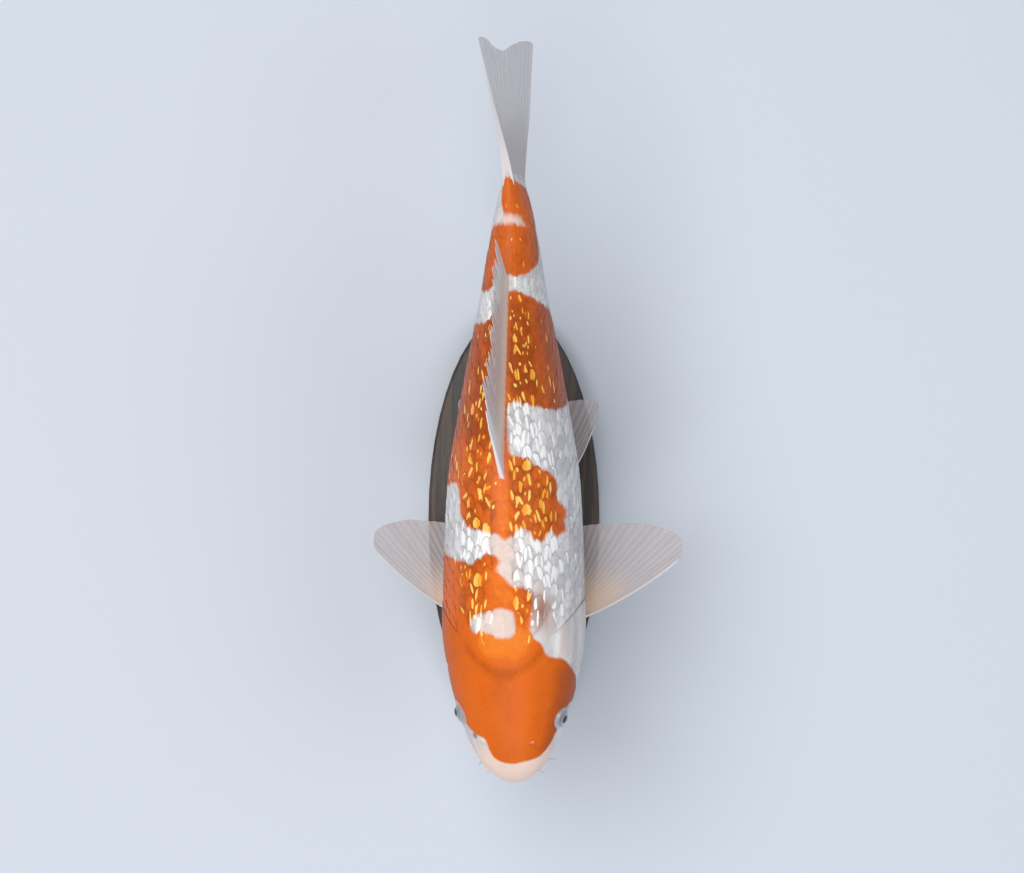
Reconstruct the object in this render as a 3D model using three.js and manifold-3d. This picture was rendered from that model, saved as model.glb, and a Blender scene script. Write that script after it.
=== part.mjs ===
// A koi carp, 400 mm long, as a still life-size display model held by two rods over a low oval base.
//
// Millimetres, +Z up. The head points along -Y, the back along +Z, and the fish's left side along +X.
// The origin is the centre of the base's underside.
//
// The body is one lofted form: station by station it has a half width, a height of back and a depth of belly.
// It is parted with thin cuts into head, gill covers, trunk and tail stalk. Each fin is a fan of rays.
// Everything is first laid out in the fish's own frame (across, station, above), and place() then rolls it.

import * as THREE from "three";
import { mergeVertices } from "three/addons/utils/BufferGeometryUtils.js";
import Module from "manifold-3d";

const wasm = await Module();
wasm.setup();

// ---- Driving dimensions ----

const BODY_LENGTH = 324; // snout to the root of the tail fin
const TOTAL_LENGTH = 400; // snout to the tips of the tail fin
const AXIS_HEIGHT = 110; // of the line from snout to tail, above the floor
const BALANCE_STATION = 140; // the station over the middle of the base
const GAP = 0.35; // between parts that touch

const BODY_ROLL = 7; // degrees, the back leaning to the fish's right
const TAIL_TWIST = 13.5; // further roll of the tail fin
const TWIST_FROM = 300; // stations between which the tail twists
const TWIST_TO = 370;
const TAIL_BEND = 4; // sideways drift of the tail fin's end

const AROUND = 32; // facets round the body
const EYE_RADIUS = 7.4;
const EYE_STATION = { left: 35.8, right: 37.8 };
const EYE_ANGLE = 69; // degrees from the back
const EYE_DEPTH = 4.7; // of the eye's centre under the skin

// ---- Small helpers ----

const radians = THREE.MathUtils.degToRad;
const mix = THREE.MathUtils.lerp;
const clamp = THREE.MathUtils.clamp;
const signedPower = (value, power) => Math.sign(value) * Math.abs(value) ** power;

// A smooth curve through rows of [place, value].
function smoothCurve(rows) {
  const slopes = rows.slice(1).map((row, i) => (row[1] - rows[i][1]) / (row[0] - rows[i][0]));
  const tangents = rows.map((row, i) => {
    if (i === 0) return slopes[0];
    if (i === rows.length - 1) return slopes[i - 1];
    const before = row[0] - rows[i - 1][0];
    const after = rows[i + 1][0] - row[0];
    return (slopes[i - 1] * after + slopes[i] * before) / (before + after);
  });
  return (place) => {
    const at = clamp(place, rows[0][0], rows[rows.length - 1][0]);
    let i = 0;
    while (i < rows.length - 2 && at > rows[i + 1][0]) i += 1;
    const span = rows[i + 1][0] - rows[i][0];
    const t = (at - rows[i][0]) / span;
    const rise = rows[i + 1][1] - rows[i][1];
    const start = tangents[i] * span;
    const end = tangents[i + 1] * span;
    return rows[i][1] + t * (start + t * (3 * rise - 2 * start - end + t * (start + end - 2 * rise)));
  };
}

// ---- The body's form ----

// Station, half width, height of the back, depth of the belly.
const STATIONS = [
  [0, 0, 0, 0],
  [2.5, 8.6, 7.2, 5.6],
  [9, 15.8, 14, 11],
  [20, 22.5, 21, 17],
  [38, 29.6, 29, 24.5],
  [60, 35.2, 37.5, 32],
  [82, 38, 44, 38],
  [110, 37.9, 49, 43],
  [140, 36.8, 51, 46],
  [170, 34.6, 49.3, 46],
  [200, 29.6, 43.5, 42],
  [230, 24.2, 36.5, 34.5],
  [262, 17.9, 29, 26],
  [292, 13, 22.5, 20],
  [312, 8.6, 19.8, 18],
  [BODY_LENGTH, 4.8, 19, 17.5],
];
// The snout is round, so its profile is smooth against the square root of the station.
const profile = (column) => {
  const curve = smoothCurve(STATIONS.map((row) => [Math.sqrt(row[0]), row[column]]));
  return (station) => curve(Math.sqrt(Math.max(station, 0)));
};
const halfWidth = profile(1);
const backHeight = profile(2);
const bellyDepth = profile(3);

const HEAD_FULLNESS = 2.25; // 2 is an ellipse, and more is squarer
const BACK_FULLNESS = 2;
const BELLY_FULLNESS = 2.2;

// A point of the body in the fish's own frame. The angle runs from the back, positive to the fish's left.
function onBody(station, angle, grow = 0) {
  const above = Math.cos(angle) > 0;
  const nape = THREE.MathUtils.smoothstep(station, 30, 120);
  const fullness = above ? mix(HEAD_FULLNESS, BACK_FULLNESS, nape) : BELLY_FULLNESS;
  const height = above ? backHeight(station) : bellyDepth(station);
  return new THREE.Vector3(
    (halfWidth(station) + grow) * signedPower(Math.sin(angle), 2 / fullness),
    station,
    (height + grow) * signedPower(Math.cos(angle), 2 / fullness),
  );
}

// ---- The pose ----

function rollAt(station) {
  return radians(BODY_ROLL + TAIL_TWIST * THREE.MathUtils.smoothstep(station, TWIST_FROM, TWIST_TO));
}

// Carries a point of the fish's own frame (across, station, above) to its place on the stand.
function place(point) {
  const roll = rollAt(point.y);
  const past = Math.max(0, (point.y - BODY_LENGTH) / (TOTAL_LENGTH - BODY_LENGTH));
  return new THREE.Vector3(
    point.x * Math.cos(roll) - point.z * Math.sin(roll) - TAIL_BEND * past ** 1.5,
    point.y - BALANCE_STATION,
    AXIS_HEIGHT + point.x * Math.sin(roll) + point.z * Math.cos(roll),
  );
}

// ---- Meshes and solids ----

function geometryOf(points, faces) {
  const geometry = new THREE.BufferGeometry();
  geometry.setAttribute("position", new THREE.Float32BufferAttribute(points.flatMap((p) => p.toArray()), 3));
  geometry.setIndex(faces.flat());
  return geometry;
}

function solidOf(geometry) {
  const bare = geometry.clone();
  bare.deleteAttribute("normal");
  bare.deleteAttribute("uv");
  const merged = mergeVertices(bare, 1e-3);
  return new wasm.Manifold(
    new wasm.Mesh({
      numProp: 3,
      vertProperties: merged.attributes.position.array,
      triVerts: new Uint32Array(merged.index.array),
    }),
  );
}

function geometryFrom(solid) {
  const mesh = solid.getMesh();
  const geometry = new THREE.BufferGeometry();
  const positions = new Float32Array(mesh.numVert * 3);
  for (let i = 0; i < mesh.numVert; i += 1) {
    positions.set(mesh.vertProperties.subarray(i * mesh.numProp, i * mesh.numProp + 3), i * 3);
  }
  geometry.setAttribute("position", new THREE.BufferAttribute(positions, 3));
  geometry.setIndex(new THREE.BufferAttribute(mesh.triVerts, 1));
  return geometry;
}

// A tube of rings, each a list of points, closed by a fan at each end. One point stands for a closed tip.
function lofted(rings, frontCentre, rearCentre) {
  const points = [];
  const faces = [];
  const starts = rings.map((ring) => {
    const start = points.length;
    points.push(...ring);
    return start;
  });
  const sides = rings[rings.length - 1].length;
  const front = points.push(frontCentre) - 1;
  const rear = points.push(rearCentre) - 1;
  for (let j = 0; j < sides; j += 1) {
    const next = (j + 1) % sides;
    faces.push([front, starts[0] + next, starts[0] + j]);
    for (let i = 0; i < rings.length - 1; i += 1) {
      const [a, b] = [starts[i] + j, starts[i] + next];
      const [c, d] = [starts[i + 1] + j, starts[i + 1] + next];
      faces.push([a, b, c], [b, d, c]);
    }
    const last = starts[rings.length - 1];
    faces.push([rear, last + j, last + next]);
  }
  return geometryOf(points, faces);
}

// A closed block between two grids of points, the outer one facing out. Each grid is a list of rows.
function slab(outer, inner) {
  const rows = outer.length;
  const columns = outer[0].length;
  const points = [...outer.flat(), ...inner.flat()];
  const at = (layer, i, j) => layer * rows * columns + i * columns + j;
  const faces = [];
  const quad = (a, b, c, d) => faces.push([a, b, c], [a, c, d]);
  for (let i = 0; i < rows - 1; i += 1) {
    for (let j = 0; j < columns - 1; j += 1) {
      quad(at(0, i, j), at(0, i, j + 1), at(0, i + 1, j + 1), at(0, i + 1, j));
      quad(at(1, i, j), at(1, i + 1, j), at(1, i + 1, j + 1), at(1, i, j + 1));
    }
    quad(at(0, i, 0), at(0, i + 1, 0), at(1, i + 1, 0), at(1, i, 0));
    quad(at(0, i + 1, columns - 1), at(0, i, columns - 1), at(1, i, columns - 1), at(1, i + 1, columns - 1));
  }
  for (let j = 0; j < columns - 1; j += 1) {
    quad(at(0, 0, j + 1), at(0, 0, j), at(1, 0, j), at(1, 0, j + 1));
    quad(at(0, rows - 1, j), at(0, rows - 1, j + 1), at(1, rows - 1, j + 1), at(1, rows - 1, j));
  }
  return geometryOf(points, faces);
}

// A solid of a closed geometry, whichever way round its faces were wound.
function facingOut(geometry) {
  const index = geometry.index.array;
  const position = geometry.attributes.position;
  const corner = (i) => new THREE.Vector3().fromBufferAttribute(position, index[i]);
  let volume = 0;
  for (let i = 0; i < index.length; i += 3) {
    volume += corner(i).dot(corner(i + 1).cross(corner(i + 2)));
  }
  if (volume < 0) {
    for (let i = 0; i < index.length; i += 3) [index[i], index[i + 1]] = [index[i + 1], index[i]];
  }
  return solidOf(geometry);
}

const steps = (count, from = 0, to = 1) =>
  Array.from({ length: count + 1 }, (_, i) => mix(from, to, i / count));

// ---- Head, trunk and tail stalk ----

// Where the head ends, by degrees from the back: the nape on top, then the free edge of the gill cover.
const gillEdge = smoothCurve([
  [0, 61],
  [15, 62.5],
  [30, 72],
  [38, 79],
  [50, 86],
  [65, 92.5],
  [80, 97],
  [95, 99.5],
  [110, 98],
  [122, 91],
  [132, 84],
  [145, 73],
  [160, 65],
  [180, 62],
]);
// The front edge of the gill cover, a crescent behind the cheek.
const cheekEdge = smoothCurve([
  [40, 74],
  [55, 67],
  [80, 63.5],
  [105, 65],
  [125, 70],
  [138, 78],
]);
const COVER_FROM = 44;
const COVER_TO = 134;
const COVER_THICKNESS = 4;
const STALK_STATION = 256; // where the trunk gives way to the tail stalk
const GILL_HUB = 82; // the station on the axis at which the head's rear face meets
const HEAD_SQUEEZE = 1.6; // gathers the head's rings towards the snout

const degreesFromBack = (angle) => THREE.MathUtils.radToDeg(Math.abs(angle));
const gillStation = (angle) => gillEdge(degreesFromBack(angle));
const ringAngles = Array.from({ length: AROUND }, (_, j) => radians((360 * j) / AROUND - 180));

const ring = (stationOf, grow = 0) => ringAngles.map((angle) => place(onBody(stationOf(angle), angle, grow)));
const axisPoint = (station) => place(new THREE.Vector3(0, station, 0));

function bodyLength(from, to, rings, { frontHub, rearHub, squeeze = 1, grow = 0 }) {
  const shares = steps(rings).map((share) => share ** squeeze);
  const made = shares.map((share) => ring((angle) => mix(from(angle), to(angle), share), grow));
  return facingOut(lofted(made, axisPoint(frontHub), axisPoint(rearHub)));
}

const SNOUT_START = 0.02; // the first ring is so small that the snout closes on it
const wholeHead = bodyLength(() => SNOUT_START, gillStation, 12, {
  frontHub: 0,
  rearHub: GILL_HUB,
  squeeze: HEAD_SQUEEZE,
});
const trunk = bodyLength((angle) => gillStation(angle) + GAP, () => STALK_STATION, 11, {
  frontHub: GILL_HUB + GAP,
  rearHub: STALK_STATION,
});
const tailStalk = bodyLength(() => STALK_STATION + GAP, () => BODY_LENGTH, 6, {
  frontHub: STALK_STATION + GAP,
  rearHub: BODY_LENGTH,
});
// The whole body a little larger, to cut what grows from it or holds it.
const bodyWithGap = bodyLength(() => SNOUT_START, () => BODY_LENGTH + GAP, 30, {
  frontHub: -GAP,
  rearHub: BODY_LENGTH + GAP,
  squeeze: 1.2,
  grow: GAP,
});

// ---- Gill covers ----

function coverPatch(side, spread, depth) {
  const rows = steps(8, COVER_FROM - spread * 1.5, COVER_TO + spread * 1.5);
  const layer = (grow) =>
    rows.map((degrees) => {
      const angle = side * radians(degrees);
      return steps(3, cheekEdge(degrees) - spread, gillEdge(degrees) + 4).map((station) =>
        place(onBody(station, angle, grow)),
      );
    });
  return facingOut(slab(layer(2), layer(-depth)));
}

// ---- Eyes ----

// The outward direction of the skin at a station and angle, in the fish's own frame.
function outward(station, angle) {
  const along = onBody(station + 1, angle).sub(onBody(station - 1, angle));
  const round = onBody(station, angle + 0.05).sub(onBody(station, angle - 0.05));
  const normal = along.cross(round).normalize();
  return normal.x * Math.sin(angle) < 0 ? normal.negate() : normal;
}

function ball(radius, centre, widthSegments = 14, heightSegments = 8) {
  const geometry = new THREE.SphereGeometry(radius, widthSegments, heightSegments);
  geometry.translate(centre.x, centre.y, centre.z);
  return solidOf(geometry);
}

function eyeCentre(name, side) {
  const angle = side * radians(EYE_ANGLE);
  const station = EYE_STATION[name];
  return place(onBody(station, angle).addScaledVector(outward(station, angle), -EYE_DEPTH));
}

// ---- Mouth, nostrils and barbels ----

const MOUTH_CORNER = 14; // station of the corner
const MOUTH_DROP = 6; // how far the corner lies under the lips' front
const MOUTH_SLIT = 0.8;
const mouthLevel = (station) => -1 - MOUTH_DROP * clamp(station / MOUTH_CORNER, 0, 1) ** 1.3;

function mouthSlit() {
  const layer = (lift) =>
    steps(5, -2, MOUTH_CORNER - 1).map((station) =>
      steps(1, -24, 24).map((across) =>
        place(new THREE.Vector3(across, station, mouthLevel(station) + lift)),
      ),
    );
  return facingOut(slab(layer(MOUTH_SLIT / 2), layer(-MOUTH_SLIT / 2)));
}
// The slit is only as deep as the lips: this block keeps the flesh behind them.
const MOUTH_DEPTH = 4;
const behindLips = () =>
  bodyLength(() => SNOUT_START, () => 40, 8, { frontHub: 0, rearHub: 40, grow: -MOUTH_DEPTH, squeeze: 1.6 });

function nostril(side, station, degrees, radius) {
  const angle = side * radians(degrees);
  return ball(radius, place(onBody(station, angle)), 8, 5);
}

// A tapered feeler along a curve, from the lip outwards. Its end is round enough to print.
const BARBEL_UNEVENNESS = 1.5; // the left ones hang this much lower than the middle
function barbel(side, { station, degrees, length, radius, sweep, droop }) {
  const angle = side * radians(degrees);
  const normal = outward(station, angle);
  const root = onBody(station, angle).addScaledVector(normal, -1.5);
  const rings = steps(5).map((share) => {
    const centre = root
      .clone()
      .addScaledVector(normal, share * length)
      .add(new THREE.Vector3(0, sweep, -droop - side * BARBEL_UNEVENNESS).multiplyScalar(share ** 2));
    const thickness = radius * (1 - 0.55 * share);
    const across = new THREE.Vector3(0, 1, 0).cross(normal).normalize();
    const along = normal.clone().cross(across);
    return steps(6).slice(1).map((turn) =>
      place(
        centre
          .clone()
          .addScaledVector(across, thickness * Math.cos(2 * Math.PI * turn))
          .addScaledVector(along, thickness * Math.sin(2 * Math.PI * turn)),
      ),
    );
  });
  const ends = [rings[0], rings[rings.length - 1]].map((points) =>
    points.reduce((sum, point) => sum.add(point), new THREE.Vector3()).divideScalar(points.length),
  );
  return facingOut(lofted(rings, ...ends)).subtract(bodyWithGap);
}

const BARBELS = {
  rear: { station: 12.5, degrees: 114, length: 7, radius: 0.9, sweep: -1.5, droop: 6 },
  front: { station: 6.5, degrees: 102, length: 4.5, radius: 0.7, sweep: 0, droop: 3 },
};

// ---- Fins ----

// A fin is a fan of rays. Each ray starts on a line of roots and runs out at its own angle and length, in
// the plane of two directions, out and back. Curl bends a ray within that plane, and bend and wave carry it
// off the plane. Every other column of points is a ray, which stands proud of the web.
const RAY_RIDGE = 0.5;
const LEAST_THICKNESS = 0.55;
const ROOT_OVERRUN = 0.08; // share of a ray's length that starts inside the body, where the skin cuts it off
const WAVES = 9; // sets how many waves run across a fin

function fin({ roots, out, back, angle, length, curl, rays, rows, thick, thin, bend, wave, lead }) {
  const backDirection = back.clone().normalize();
  const columns = steps(2 * rays);
  const layer = (side) =>
    columns.map((share, column) => {
      const outDirection = out(share).normalize();
      const face = outDirection.clone().cross(backDirection).normalize();
      const turn = radians(angle(share));
      const [cos, sin] = [Math.cos(turn), Math.sin(turn)];
      const along = outDirection.clone().multiplyScalar(cos).addScaledVector(backDirection, sin);
      const aside = outDirection.clone().multiplyScalar(-sin).addScaledVector(backDirection, cos);
      const rayLength = length(share);
      return steps(rows, -ROOT_OVERRUN, 1).map((reach) => {
        const ridge = column % 2 ? RAY_RIDGE : 0;
        const full = mix(thick, thin, Math.sqrt(Math.max(reach, 0))) * (column === 0 ? lead : 1);
        const half = Math.max(full - ridge, LEAST_THICKNESS) / 2;
        const lift = (rayLength * bend + wave * Math.sin(share * WAVES)) * reach ** 2;
        return place(
          roots(share)
            .addScaledVector(along, rayLength * reach)
            .addScaledVector(aside, rayLength * curl(share) * reach ** 2)
            .addScaledVector(face, lift + side * half),
        );
      });
    });
  return facingOut(slab(layer(1), layer(-1))).subtract(bodyWithGap);
}

const line = (from, to) => (share) => new THREE.Vector3().lerpVectors(from, to, share);
const evenCurve = (...values) => smoothCurve(values.map((value, i) => [i / (values.length - 1), value]));
const rearwards = new THREE.Vector3(0, 1, 0);

// Paired fins: the fish's left one is on side 1. Droop is how far a fin hangs below level.
function pectoralFin(side, { droop, sweep, size }) {
  const turn = radians(droop);
  const fan = evenCurve(19, 28, 42, 58, 76, 95);
  const reach = evenCurve(67, 73.5, 67.5, 56.5, 47, 40);
  return fin({
    roots: line(onBody(85.5, side * radians(130), -2), onBody(94, side * radians(140), -2)),
    out: () => new THREE.Vector3(side * Math.cos(turn), 0, -Math.sin(turn)),
    back: rearwards,
    angle: (share) => sweep + fan(share),
    length: (share) => size * reach(share),
    curl: evenCurve(0.19, 0.14, 0.07, 0.02, 0, 0),
    rays: 12,
    rows: 5,
    thick: 3.2,
    thin: 0.75,
    bend: side * 0.05,
    wave: 0.8,
    lead: 1.3,
  });
}

function pelvicFin(side, { droop, sweep }) {
  const turn = radians(droop);
  const fan = evenCurve(36, 46, 57, 70, 86);
  return fin({
    roots: line(onBody(152, side * radians(160), -2), onBody(158, side * radians(169), -2)),
    out: () => new THREE.Vector3(side * Math.cos(turn), 0, -Math.sin(turn)),
    back: rearwards,
    angle: (share) => sweep + fan(share),
    length: evenCurve(51, 57, 56, 51, 42),
    curl: evenCurve(0.37, 0.24, 0.1, 0.03, 0),
    rays: 8,
    rows: 5,
    thick: 2.8,
    thin: 0.75,
    bend: side * 0.04,
    wave: 0.5,
    lead: 1.25,
  });
}

const DORSAL_FROM = 162;
const DORSAL_TO = 267;
function dorsalFin() {
  const lean = evenCurve(14, 17, 22, 28, 28, 22);
  return fin({
    roots: (share) => onBody(mix(DORSAL_FROM, DORSAL_TO, share), 0, -1.5),
    out: (share) => new THREE.Vector3(-Math.sin(radians(lean(share))), 0, Math.cos(radians(lean(share)))),
    back: rearwards,
    angle: evenCurve(57, 59, 61, 62, 58),
    length: evenCurve(43, 44.5, 38.5, 35, 32.5, 31, 29.5, 28.5, 28),
    curl: () => 0.03,
    rays: 15,
    rows: 4,
    thick: 2.4,
    thin: 0.75,
    bend: 0,
    wave: 0.6,
    lead: 1.5,
  });
}

function analFin() {
  return fin({
    roots: (share) => onBody(mix(244, 263, share), Math.PI, -1.5),
    out: () => new THREE.Vector3(0.05, 0, -1),
    back: rearwards,
    angle: evenCurve(42, 48, 56, 64),
    length: evenCurve(42, 38, 30, 24),
    curl: evenCurve(0.06, 0.03, 0, 0),
    rays: 7,
    rows: 5,
    thick: 2.4,
    thin: 0.75,
    bend: 0.03,
    wave: 0.4,
    lead: 1.5,
  });
}

const TAIL_ROOT = 320;
function tailFin() {
  const upper = backHeight(TAIL_ROOT) - 1;
  const lower = bellyDepth(TAIL_ROOT) - 1;
  return fin({
    roots: (share) =>
      new THREE.Vector3(0, TAIL_ROOT + 3 * Math.sin(Math.PI * share), mix(upper, -lower, share)),
    out: () => new THREE.Vector3(0, 0, 1),
    back: rearwards,
    angle: evenCurve(79.5, 82.5, 85.5, 88, 90, 92, 95, 98, 101),
    length: evenCurve(79, 80, 74, 71, 71, 73.5, 78, 82, 82),
    curl: evenCurve(-0.13, -0.08, -0.03, 0, 0, 0, 0.03, 0.08, 0.13),
    rays: 16,
    rows: 5,
    thick: 6,
    thin: 0.75,
    bend: 0,
    wave: 0.7,
    lead: 1,
  });
}

// ---- Stand ----

const BASE_LENGTH = 232;
const BASE_WIDTH = 96;
const BASE_THICKNESS = 12;
const BASE_CHAMFER = 1.5;
const ROD_RADIUS = 3.5;
const FERRULE_RADIUS = 8;
const FERRULE_HEIGHT = 4;
const ROD_STATIONS = { front: 106, rear: 206 };

function standBase() {
  const outline = new THREE.Shape();
  outline.absellipse(0, 0, BASE_WIDTH / 2 - BASE_CHAMFER, BASE_LENGTH / 2 - BASE_CHAMFER, 0, 2 * Math.PI);
  const geometry = new THREE.ExtrudeGeometry(outline, {
    depth: BASE_THICKNESS - 2 * BASE_CHAMFER,
    bevelThickness: BASE_CHAMFER,
    bevelSize: BASE_CHAMFER,
    bevelSegments: 1,
    curveSegments: 24,
  });
  geometry.translate(0, 0, BASE_CHAMFER);
  return solidOf(geometry);
}

// A rod with a ferrule at its foot, its top shaped to the belly that it holds.
function standRod(station) {
  const foot = BASE_THICKNESS + 0.3;
  const profilePoints = [
    [0, foot],
    [FERRULE_RADIUS, foot],
    [FERRULE_RADIUS, foot + FERRULE_HEIGHT - 1],
    [FERRULE_RADIUS - 1, foot + FERRULE_HEIGHT],
    [ROD_RADIUS, foot + FERRULE_HEIGHT],
    [ROD_RADIUS, AXIS_HEIGHT - 20],
    [0, AXIS_HEIGHT - 20],
  ].map(([radius, height]) => new THREE.Vector2(radius, height));
  const geometry = new THREE.LatheGeometry(profilePoints, 16);
  geometry.rotateX(Math.PI / 2);
  geometry.translate(0, station - BALANCE_STATION, 0);
  geometry.deleteAttribute("normal");
  geometry.deleteAttribute("uv");
  return facingOut(mergeVertices(geometry, 1e-3)).subtract(bodyWithGap);
}

// ---- Materials ----

function surface(color, roughness, metalness = 0) {
  return new THREE.MeshStandardMaterial({ color, roughness, metalness });
}
const orangeSkin = surface(0xd9641f, 0.3);
const whiteSkin = surface(0xe6e2e0, 0.3);
const finWeb = surface(0xdcdce2, 0.4);
const eyeSurface = surface(0x30302c, 0.1);
const darkWood = surface(0x2a211c, 0.5);
const steel = surface(0xb8b8ba, 0.3, 1);

// ---- Assembly ----

const koi = new THREE.Group();

function add(name, solid, material) {
  const mesh = new THREE.Mesh(geometryFrom(solid), material);
  mesh.name = name;
  koi.add(mesh);
}

const SIDES = { left: 1, right: -1 };

let head = wholeHead.subtract(mouthSlit().subtract(behindLips()));
for (const [name, side] of Object.entries(SIDES)) {
  add(`gill_cover_${name}`, wholeHead.intersect(coverPatch(side, 0, COVER_THICKNESS)), orangeSkin);
  head = head.subtract(coverPatch(side, GAP, COVER_THICKNESS + GAP));
  head = head.subtract(ball(EYE_RADIUS + GAP, eyeCentre(name, side)));
  head = head.subtract(nostril(side, 22, 40, 1.3)).subtract(nostril(side, 25, 41, 1.1));
  add(`eye_${name}`, ball(EYE_RADIUS, eyeCentre(name, side)), eyeSurface);
  for (const [pair, sizes] of Object.entries(BARBELS)) {
    add(`barbel_${pair}_${name}`, barbel(side, sizes), whiteSkin);
  }
}
add("head", head, orangeSkin);
add("trunk", trunk, orangeSkin);
add("tail_stalk", tailStalk, orangeSkin);

add("pectoral_fin_left", pectoralFin(1, { droop: 9, sweep: 0, size: 1 }), finWeb);
add("pectoral_fin_right", pectoralFin(-1, { droop: 15, sweep: 5, size: 0.97 }), finWeb);
add("pelvic_fin_left", pelvicFin(1, { droop: 22, sweep: -1 }), finWeb);
add("pelvic_fin_right", pelvicFin(-1, { droop: 25, sweep: 2 }), finWeb);
add("dorsal_fin", dorsalFin(), finWeb);
add("anal_fin", analFin(), finWeb);
add("tail_fin", tailFin(), finWeb);

add("stand_base", standBase(), darkWood);
for (const [name, station] of Object.entries(ROD_STATIONS)) {
  add(`stand_rod_${name}`, standRod(station), steel);
}

export default koi;
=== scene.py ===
"""The finished looks of a life-size koi carp on a plain display stand.

The fish's own frame is millimetres: across (to its left), station (back from the snout) and above.
place() rolls that frame and sets it over the stand, and every mesh is then scaled to metres.
"""

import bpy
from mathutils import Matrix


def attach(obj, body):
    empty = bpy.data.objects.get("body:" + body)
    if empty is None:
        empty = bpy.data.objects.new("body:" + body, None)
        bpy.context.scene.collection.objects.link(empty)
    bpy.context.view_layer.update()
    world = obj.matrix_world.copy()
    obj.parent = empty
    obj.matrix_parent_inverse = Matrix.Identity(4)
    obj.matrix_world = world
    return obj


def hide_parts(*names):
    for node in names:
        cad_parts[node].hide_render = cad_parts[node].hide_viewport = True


bl_info = {
    "name": "Koi Carp",
    "version": (1, 0, 0),
    "blender": (4, 5, 0),
    "location": "3D View > Sidebar > Koi Carp",
    "description": "Skin, scales, fins, eyes and stand of a display model of a koi carp",
    "category": "Object",
}

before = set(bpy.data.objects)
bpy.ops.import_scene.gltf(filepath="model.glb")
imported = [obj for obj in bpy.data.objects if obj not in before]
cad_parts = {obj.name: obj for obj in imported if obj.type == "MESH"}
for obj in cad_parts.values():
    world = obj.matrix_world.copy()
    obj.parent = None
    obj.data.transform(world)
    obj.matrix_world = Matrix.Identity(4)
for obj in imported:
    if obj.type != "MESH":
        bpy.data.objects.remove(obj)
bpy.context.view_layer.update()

import math

import bpy
import numpy as np
from bpy.props import FloatProperty, FloatVectorProperty, IntProperty, PointerProperty
from mathutils import Vector

MM = 0.001

# ---- The fish's form, as in the solids ----

BODY_LENGTH = 324.0  # from the snout to the tail fin's root
TOTAL_LENGTH = 400.0
AXIS_HEIGHT = 110.0  # of the fish's own axis over the ground
BALANCE_STATION = 140.0  # the station that stands over the origin
BODY_ROLL = 7.0  # degrees by which the back leans
TAIL_TWIST = 13.5  # degrees by which the tail fin leans farther
TWIST_FROM, TWIST_TO = 300.0, 370.0
TAIL_BEND = 4.0  # how far the tail fin's end is carried aside
# Powers of the cross sections: 2 is an ellipse, and more is fuller.
HEAD_FULLNESS, BACK_FULLNESS, BELLY_FULLNESS = 2.25, 2.0, 2.2
FLESH_PAST_ROOT = 7.0  # how far the flesh tapers on over the tail fin's rays
SKIN_END = BODY_LENGTH + FLESH_PAST_ROOT

EYE_RADIUS = 8.1
EYE_STATION = {"left": 35.8, "right": 37.8}
EYE_ANGLE = 69.0  # degrees from the back
EYE_DEPTH = 5.4  # of the eyeball's centre under the body's surface
EYE_TURN = {"left": 0.0, "right": 0.2}  # how far each pupil looks back, as a slope
SIDES = {"left": 1, "right": -1}

MOUTH_CORNER = 14.0  # station where the mouth ends on each side
MOUTH_LEVEL = -2.3  # height of the mouth at the snout
MOUTH_DROP = 4.7  # how much lower its corners are

# Station, half width, height of the back, depth of the belly.
STATIONS = [
    (0, 0, 0, 0),
    (2.5, 8.6, 7.2, 5.6),
    (9, 15.8, 14, 11),
    (20, 22.5, 21, 17),
    (38, 29.6, 29, 24.5),
    (60, 35.2, 37.5, 32),
    (82, 38, 44, 38),
    (110, 37.9, 49, 43),
    (140, 36.8, 51, 46),
    (170, 34.6, 49.3, 46),
    (200, 29.6, 43.5, 42),
    (230, 24.2, 36.5, 34.5),
    (262, 17.9, 29, 26),
    (292, 13, 22.5, 20),
    (312, 8.6, 19.8, 18),
    (BODY_LENGTH, 4.8, 19, 17.5),
]


def mix(a, b, share):
    return a + (b - a) * share


def ease(value, low, high):
    """0 below low, 1 above high, and smooth between."""
    t = np.clip((np.asarray(value, float) - low) / (high - low), 0, 1)
    return t * t * (3 - 2 * t)


def window(value, outer_low, inner_low, inner_high, outer_high):
    """1 between the inner limits, 0 outside the outer ones, and smooth between."""
    return ease(value, outer_low, inner_low) * (1 - ease(value, inner_high, outer_high))


def hump(value, centre, spread):
    """A soft bump of height 1 at centre."""
    return np.exp(-(((value - centre) / spread) ** 2))


def signed_power(value, power):
    """A power of the value's size, with the value's sign."""
    return np.sign(value) * np.abs(value) ** power


def unit(vectors):
    return vectors / np.linalg.norm(vectors, axis=-1, keepdims=True)


def smooth_curve(rows):
    """A smooth curve through rows of (place, value)."""
    x = np.array([row[0] for row in rows], float)
    y = np.array([row[1] for row in rows], float)
    width = np.diff(x)
    slope = np.diff(y) / width
    tangent = np.empty(len(x))
    tangent[0], tangent[-1] = slope[0], slope[-1]
    tangent[1:-1] = (slope[:-1] * width[1:] + slope[1:] * width[:-1]) / (width[:-1] + width[1:])

    def curve(place):
        at = np.clip(place, x[0], x[-1])
        i = np.clip(np.searchsorted(x, at, side="right") - 1, 0, len(x) - 2)
        t = (at - x[i]) / width[i]
        rise = y[i + 1] - y[i]
        start = tangent[i] * width[i]
        end = tangent[i + 1] * width[i]
        return y[i] + t * (start + t * (3 * rise - 2 * start - end + t * (start + end - 2 * rise)))

    return curve


def even_curve(*values):
    return smooth_curve([(i / (len(values) - 1), value) for i, value in enumerate(values)])


def profile(column):
    """The snout is round, so its profile is smooth against the square root of the station."""
    curve = smooth_curve([(math.sqrt(row[0]), row[column]) for row in STATIONS])
    return lambda station: curve(np.sqrt(np.maximum(station, 0)))


half_width = profile(1)
back_height = profile(2)
belly_depth = profile(3)


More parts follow.
